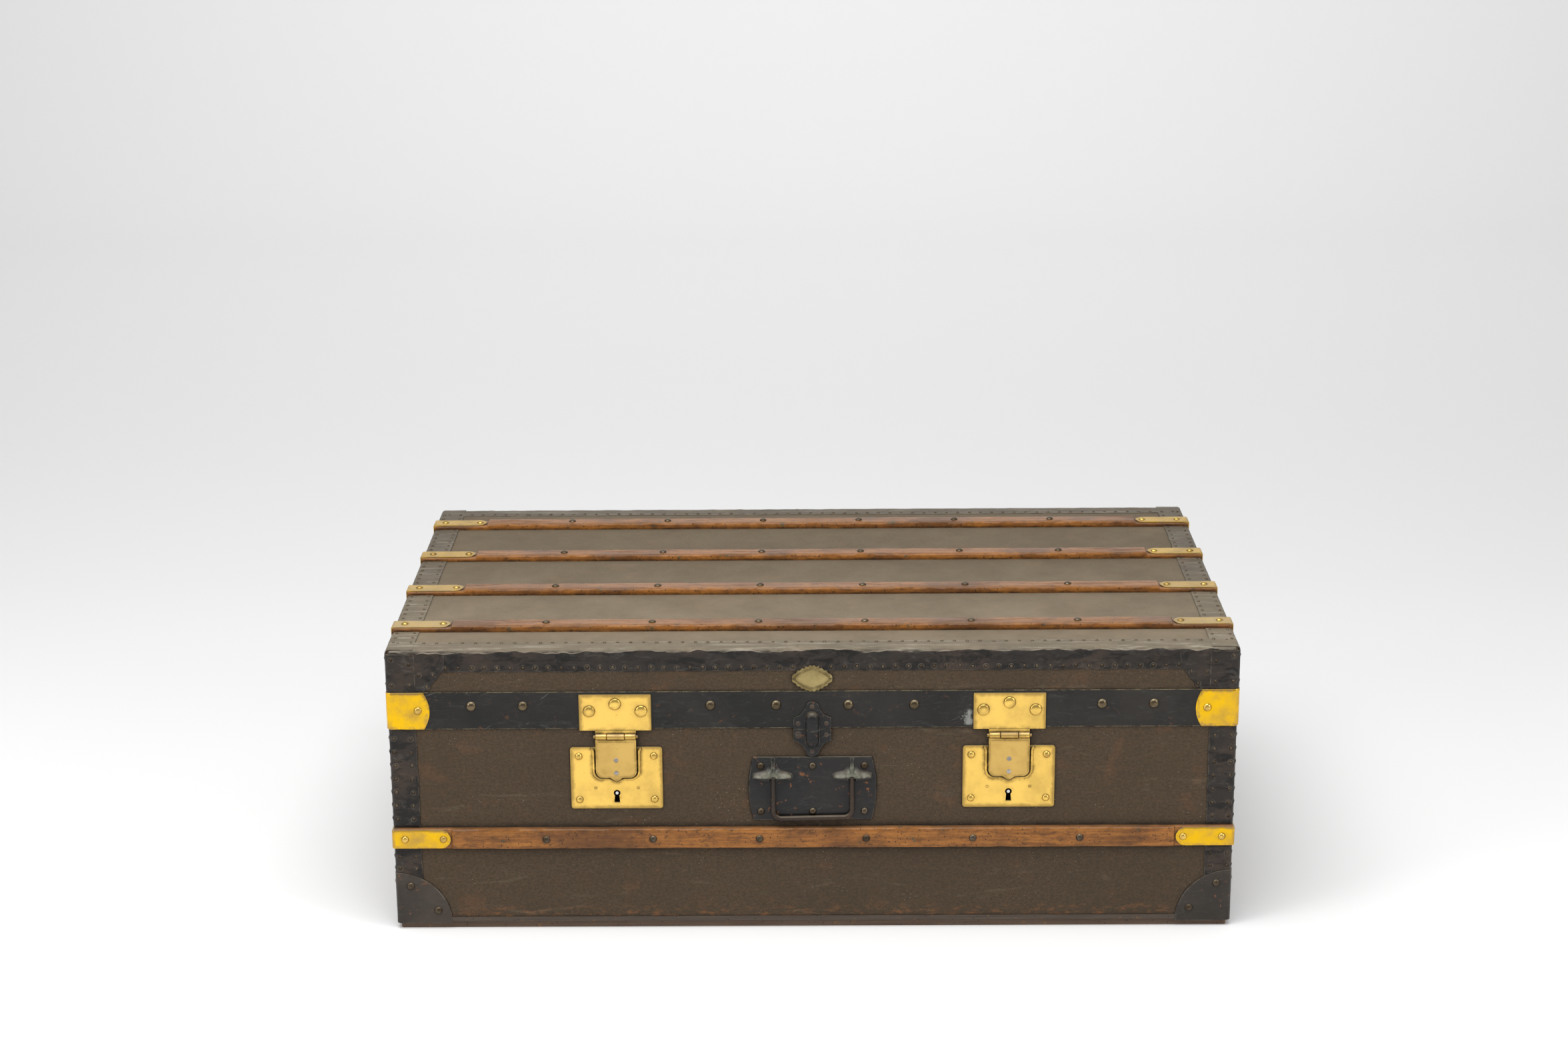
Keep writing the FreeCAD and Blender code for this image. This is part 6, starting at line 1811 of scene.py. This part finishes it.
class TRUNK_OT_label(bpy.types.Operator):
    """Cut the small scalloped label plate, left bare"""

    bl_idname = "trunk.label"
    bl_label = "Label plate"

    def execute(self, context):
        low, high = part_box("label_plate")
        half_width, _, half_height = (high - low) / 2
        front = FACES["front"]
        middle = Face(front.at(0, middle_of("label_plate").z), front.right, front.up)
        bm, pins, level = bmesh.new(), bmesh.new(), 2.4 * MM
        add_plate(bm, lozenge(half_width, half_height, depth=1.5 * MM), middle, 0.0, level, 0.25 * MM)
        for inset, radius in ((3.6 * MM, 0.35 * MM), (5.2 * MM, 0.25 * MM)):
            line = lozenge(half_width, half_height, inset)
            add_wire(bm, [middle.at(u, v, level) for u, v in line + line[:1]], radius, 8)
        for side in (-1, 1):
            foot = middle.at(side * (half_width - 3.2 * MM), 0, level)
            add_dome(pins, foot, middle.out, 1.3 * MM, 0.6 * MM, 12)
        show("label_plate_brass", bm, "label_brass", "lid", "label_plate")
        show("label_pins", pins, "dark_brass", "lid", weighted=False)
        return {"FINISHED"}


# CAD pieces that keep their shape

BOARDS = [f"{box}_{side}_board" for box in ("body", "lid") for side in ("front", "back", "left", "right")]
KEPT = {
    "canvas": ["body_canvas", "lid_canvas"],
    "old_board": ["bottom_board"],
    "old_strip": ["base_strips"],
    "board_wood": BOARDS + ["lid_top_board", "tray_ledges", "rim_lip", "tray_bottom", "tray_walls"],
    "lining_paper": ["body_lining", "lid_lining"],
    "black_band": ["lid_band"],
    "steel": ["lock_bolt_left", "lock_bolt_right", "hinge_pins"],
    "hasp_brass": ["hasp_pins"],
    "lock_case": ["lock_cases"],
}


class TRUNK_OT_boards(bpy.types.Operator):
    """Give the pieces that keep their CAD shape their finishes"""

    bl_idname = "trunk.boards"
    bl_label = "Box, lining, tray and works"

    def execute(self, context):
        for finish, nodes in KEPT.items():
            for node in nodes:
                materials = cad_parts[node].data.materials
                materials.clear()
                materials.append(FINISHES[finish])
        return {"FINISHED"}


# Stage

def aim(place, yaw, pitch, roll):
    """The camera's matrix from where it stands and how it is turned."""
    right = Vector((math.cos(yaw), math.sin(yaw), 0.0))
    ahead = Vector((-math.sin(yaw) * math.cos(pitch), math.cos(yaw) * math.cos(pitch), -math.sin(pitch)))
    down = ahead.cross(right)
    across = math.cos(roll) * right + math.sin(roll) * down
    below = -math.sin(roll) * right + math.cos(roll) * down
    turn = Matrix((across, -below, -ahead)).transposed()
    return Matrix.Translation(place) @ turn.to_4x4()


def placed(context, name, data):
    """An object with that data, in the scene."""
    thing = bpy.data.objects.new(name, data)
    context.scene.collection.objects.link(thing)
    return thing


def make_backdrop(context, colour):
    """A floor that bends up into a wall."""
    half, front, wall, bend, height = 7.0, -5.0, 5.5, 1.6, 6.0
    profile = [(front, 0.0), (wall - bend, 0.0)]
    profile += [(wall - bend + bend * math.sin(a), bend * (1 - math.cos(a))) for a in quarter(24)]
    profile.append((wall, height))
    bm = bmesh.new()
    left, right = ([bm.verts.new((x, y, z)) for y, z in profile] for x in (-half, half))
    for a, b, c, d in zip(left, right, right[1:], left[1:]):
        bm.faces.new((a, b, c, d)).smooth = True
    mesh = bpy.data.meshes.new("backdrop")
    bm.to_mesh(mesh)
    bm.free()
    material, _, shader = new_finish("backdrop", roughness=0.9, specular_ior_level=0.1)
    shader["Base Color"].default_value = colour
    mesh.materials.append(material)
    return placed(context, "backdrop", mesh)


def make_lamp(context, name, place, aimed, power, size):
    """A rectangular lamp that looks at a point."""
    lamp = bpy.data.lights.new(name, "AREA")
    lamp.shape = "RECTANGLE"
    lamp.size, lamp.size_y = size
    lamp.energy = power
    holder = placed(context, name, lamp)
    holder.location = place
    holder.rotation_mode = "QUATERNION"
    holder.rotation_quaternion = (Vector(place) - Vector(aimed)).to_track_quat("Z", "Y")
    return holder


class TRUNK_OT_stage(bpy.types.Operator):
    """Set the floor, the lights and the camera"""

    bl_idname = "trunk.stage"
    bl_label = "Stage"

    def execute(self, context):
        stage = context.scene.trunk_stage
        trunk, upper_wall, side_size = (0.0, 0.0, 0.2), (0.0, 5.4, 2.4), (1.2, 1.8)
        lit = [make_backdrop(context, stage.floor)]
        for lamp in (("softbox above", (-0.3, -1.0, 2.9), trunk, stage.key_power, (2.6, 2.0)),
                     ("softbox left", (-2.6, -1.9, 1.5), trunk, stage.side_power, side_size),
                     ("softbox right", (2.6, -1.9, 1.5), trunk, stage.side_power, side_size),
                     ("wall lamp", (0.0, 2.6, 3.6), upper_wall, stage.wall_power, (4.0, 0.8))):
            lit.append(make_lamp(context, *lamp))

        world = context.scene.world or bpy.data.worlds.new("studio")
        context.scene.world = world
        world.use_nodes = True
        sky = world.node_tree.nodes["Background"].inputs
        sky["Color"].default_value = (1.0, 1.0, 1.0, 1.0)
        sky["Strength"].default_value = stage.sky

        lens = bpy.data.cameras.new("camera")
        lens.lens = stage.lens_mm
        lens.sensor_width = 36.0
        camera = placed(context, "camera", lens)
        camera.matrix_world = aim(Vector(stage.camera_place), *stage.camera_turn)
        context.scene.camera = camera
        context.scene.view_settings.view_transform = "Standard"
        return {"FINISHED"}


# Panel

STEPS = (TRUNK_OT_boards, TRUNK_OT_slats, TRUNK_OT_clamps, TRUNK_OT_bindings, TRUNK_OT_corner_plates,
         TRUNK_OT_tacks, TRUNK_OT_studs, TRUNK_OT_locks, TRUNK_OT_dowel, TRUNK_OT_handles, TRUNK_OT_hinges,
         TRUNK_OT_label, TRUNK_OT_stage)


class TRUNK_PT_build(bpy.types.Panel):
    """The steps that dress the trunk, in order"""

    bl_label = "Cabin trunk"
    bl_space_type = "VIEW_3D"
    bl_region_type = "UI"
    bl_category = "Trunk"

    def draw(self, context):
        for step in STEPS:
            self.layout.operator(step.bl_idname)
        for group in (context.scene.trunk_sizes, context.scene.trunk_colours, context.scene.trunk_stage):
            box = self.layout.box()
            for name in group.__annotations__:
                box.prop(group, name)


CLASSES = (TrunkSizes, TrunkColours, TrunkStage, *STEPS, TRUNK_PT_build)


def register():
    """Add the classes and the settings to Blender."""
    for kind in CLASSES:
        bpy.utils.register_class(kind)
    bpy.types.Scene.trunk_sizes = PointerProperty(type=TrunkSizes)
    bpy.types.Scene.trunk_colours = PointerProperty(type=TrunkColours)
    bpy.types.Scene.trunk_stage = PointerProperty(type=TrunkStage)


def unregister():
    """Take the settings and the classes out of Blender."""
    del bpy.types.Scene.trunk_stage
    del bpy.types.Scene.trunk_colours
    del bpy.types.Scene.trunk_sizes
    for kind in reversed(CLASSES):
        bpy.utils.unregister_class(kind)


def main():
    """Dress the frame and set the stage."""
    register()
    make_finishes(bpy.context)
    for step in STEPS:
        area, name = step.bl_idname.split(".")
        getattr(getattr(bpy.ops, area), name)()
    bpy.context.view_layer.update()


if __name__ == "__main__":
    main()
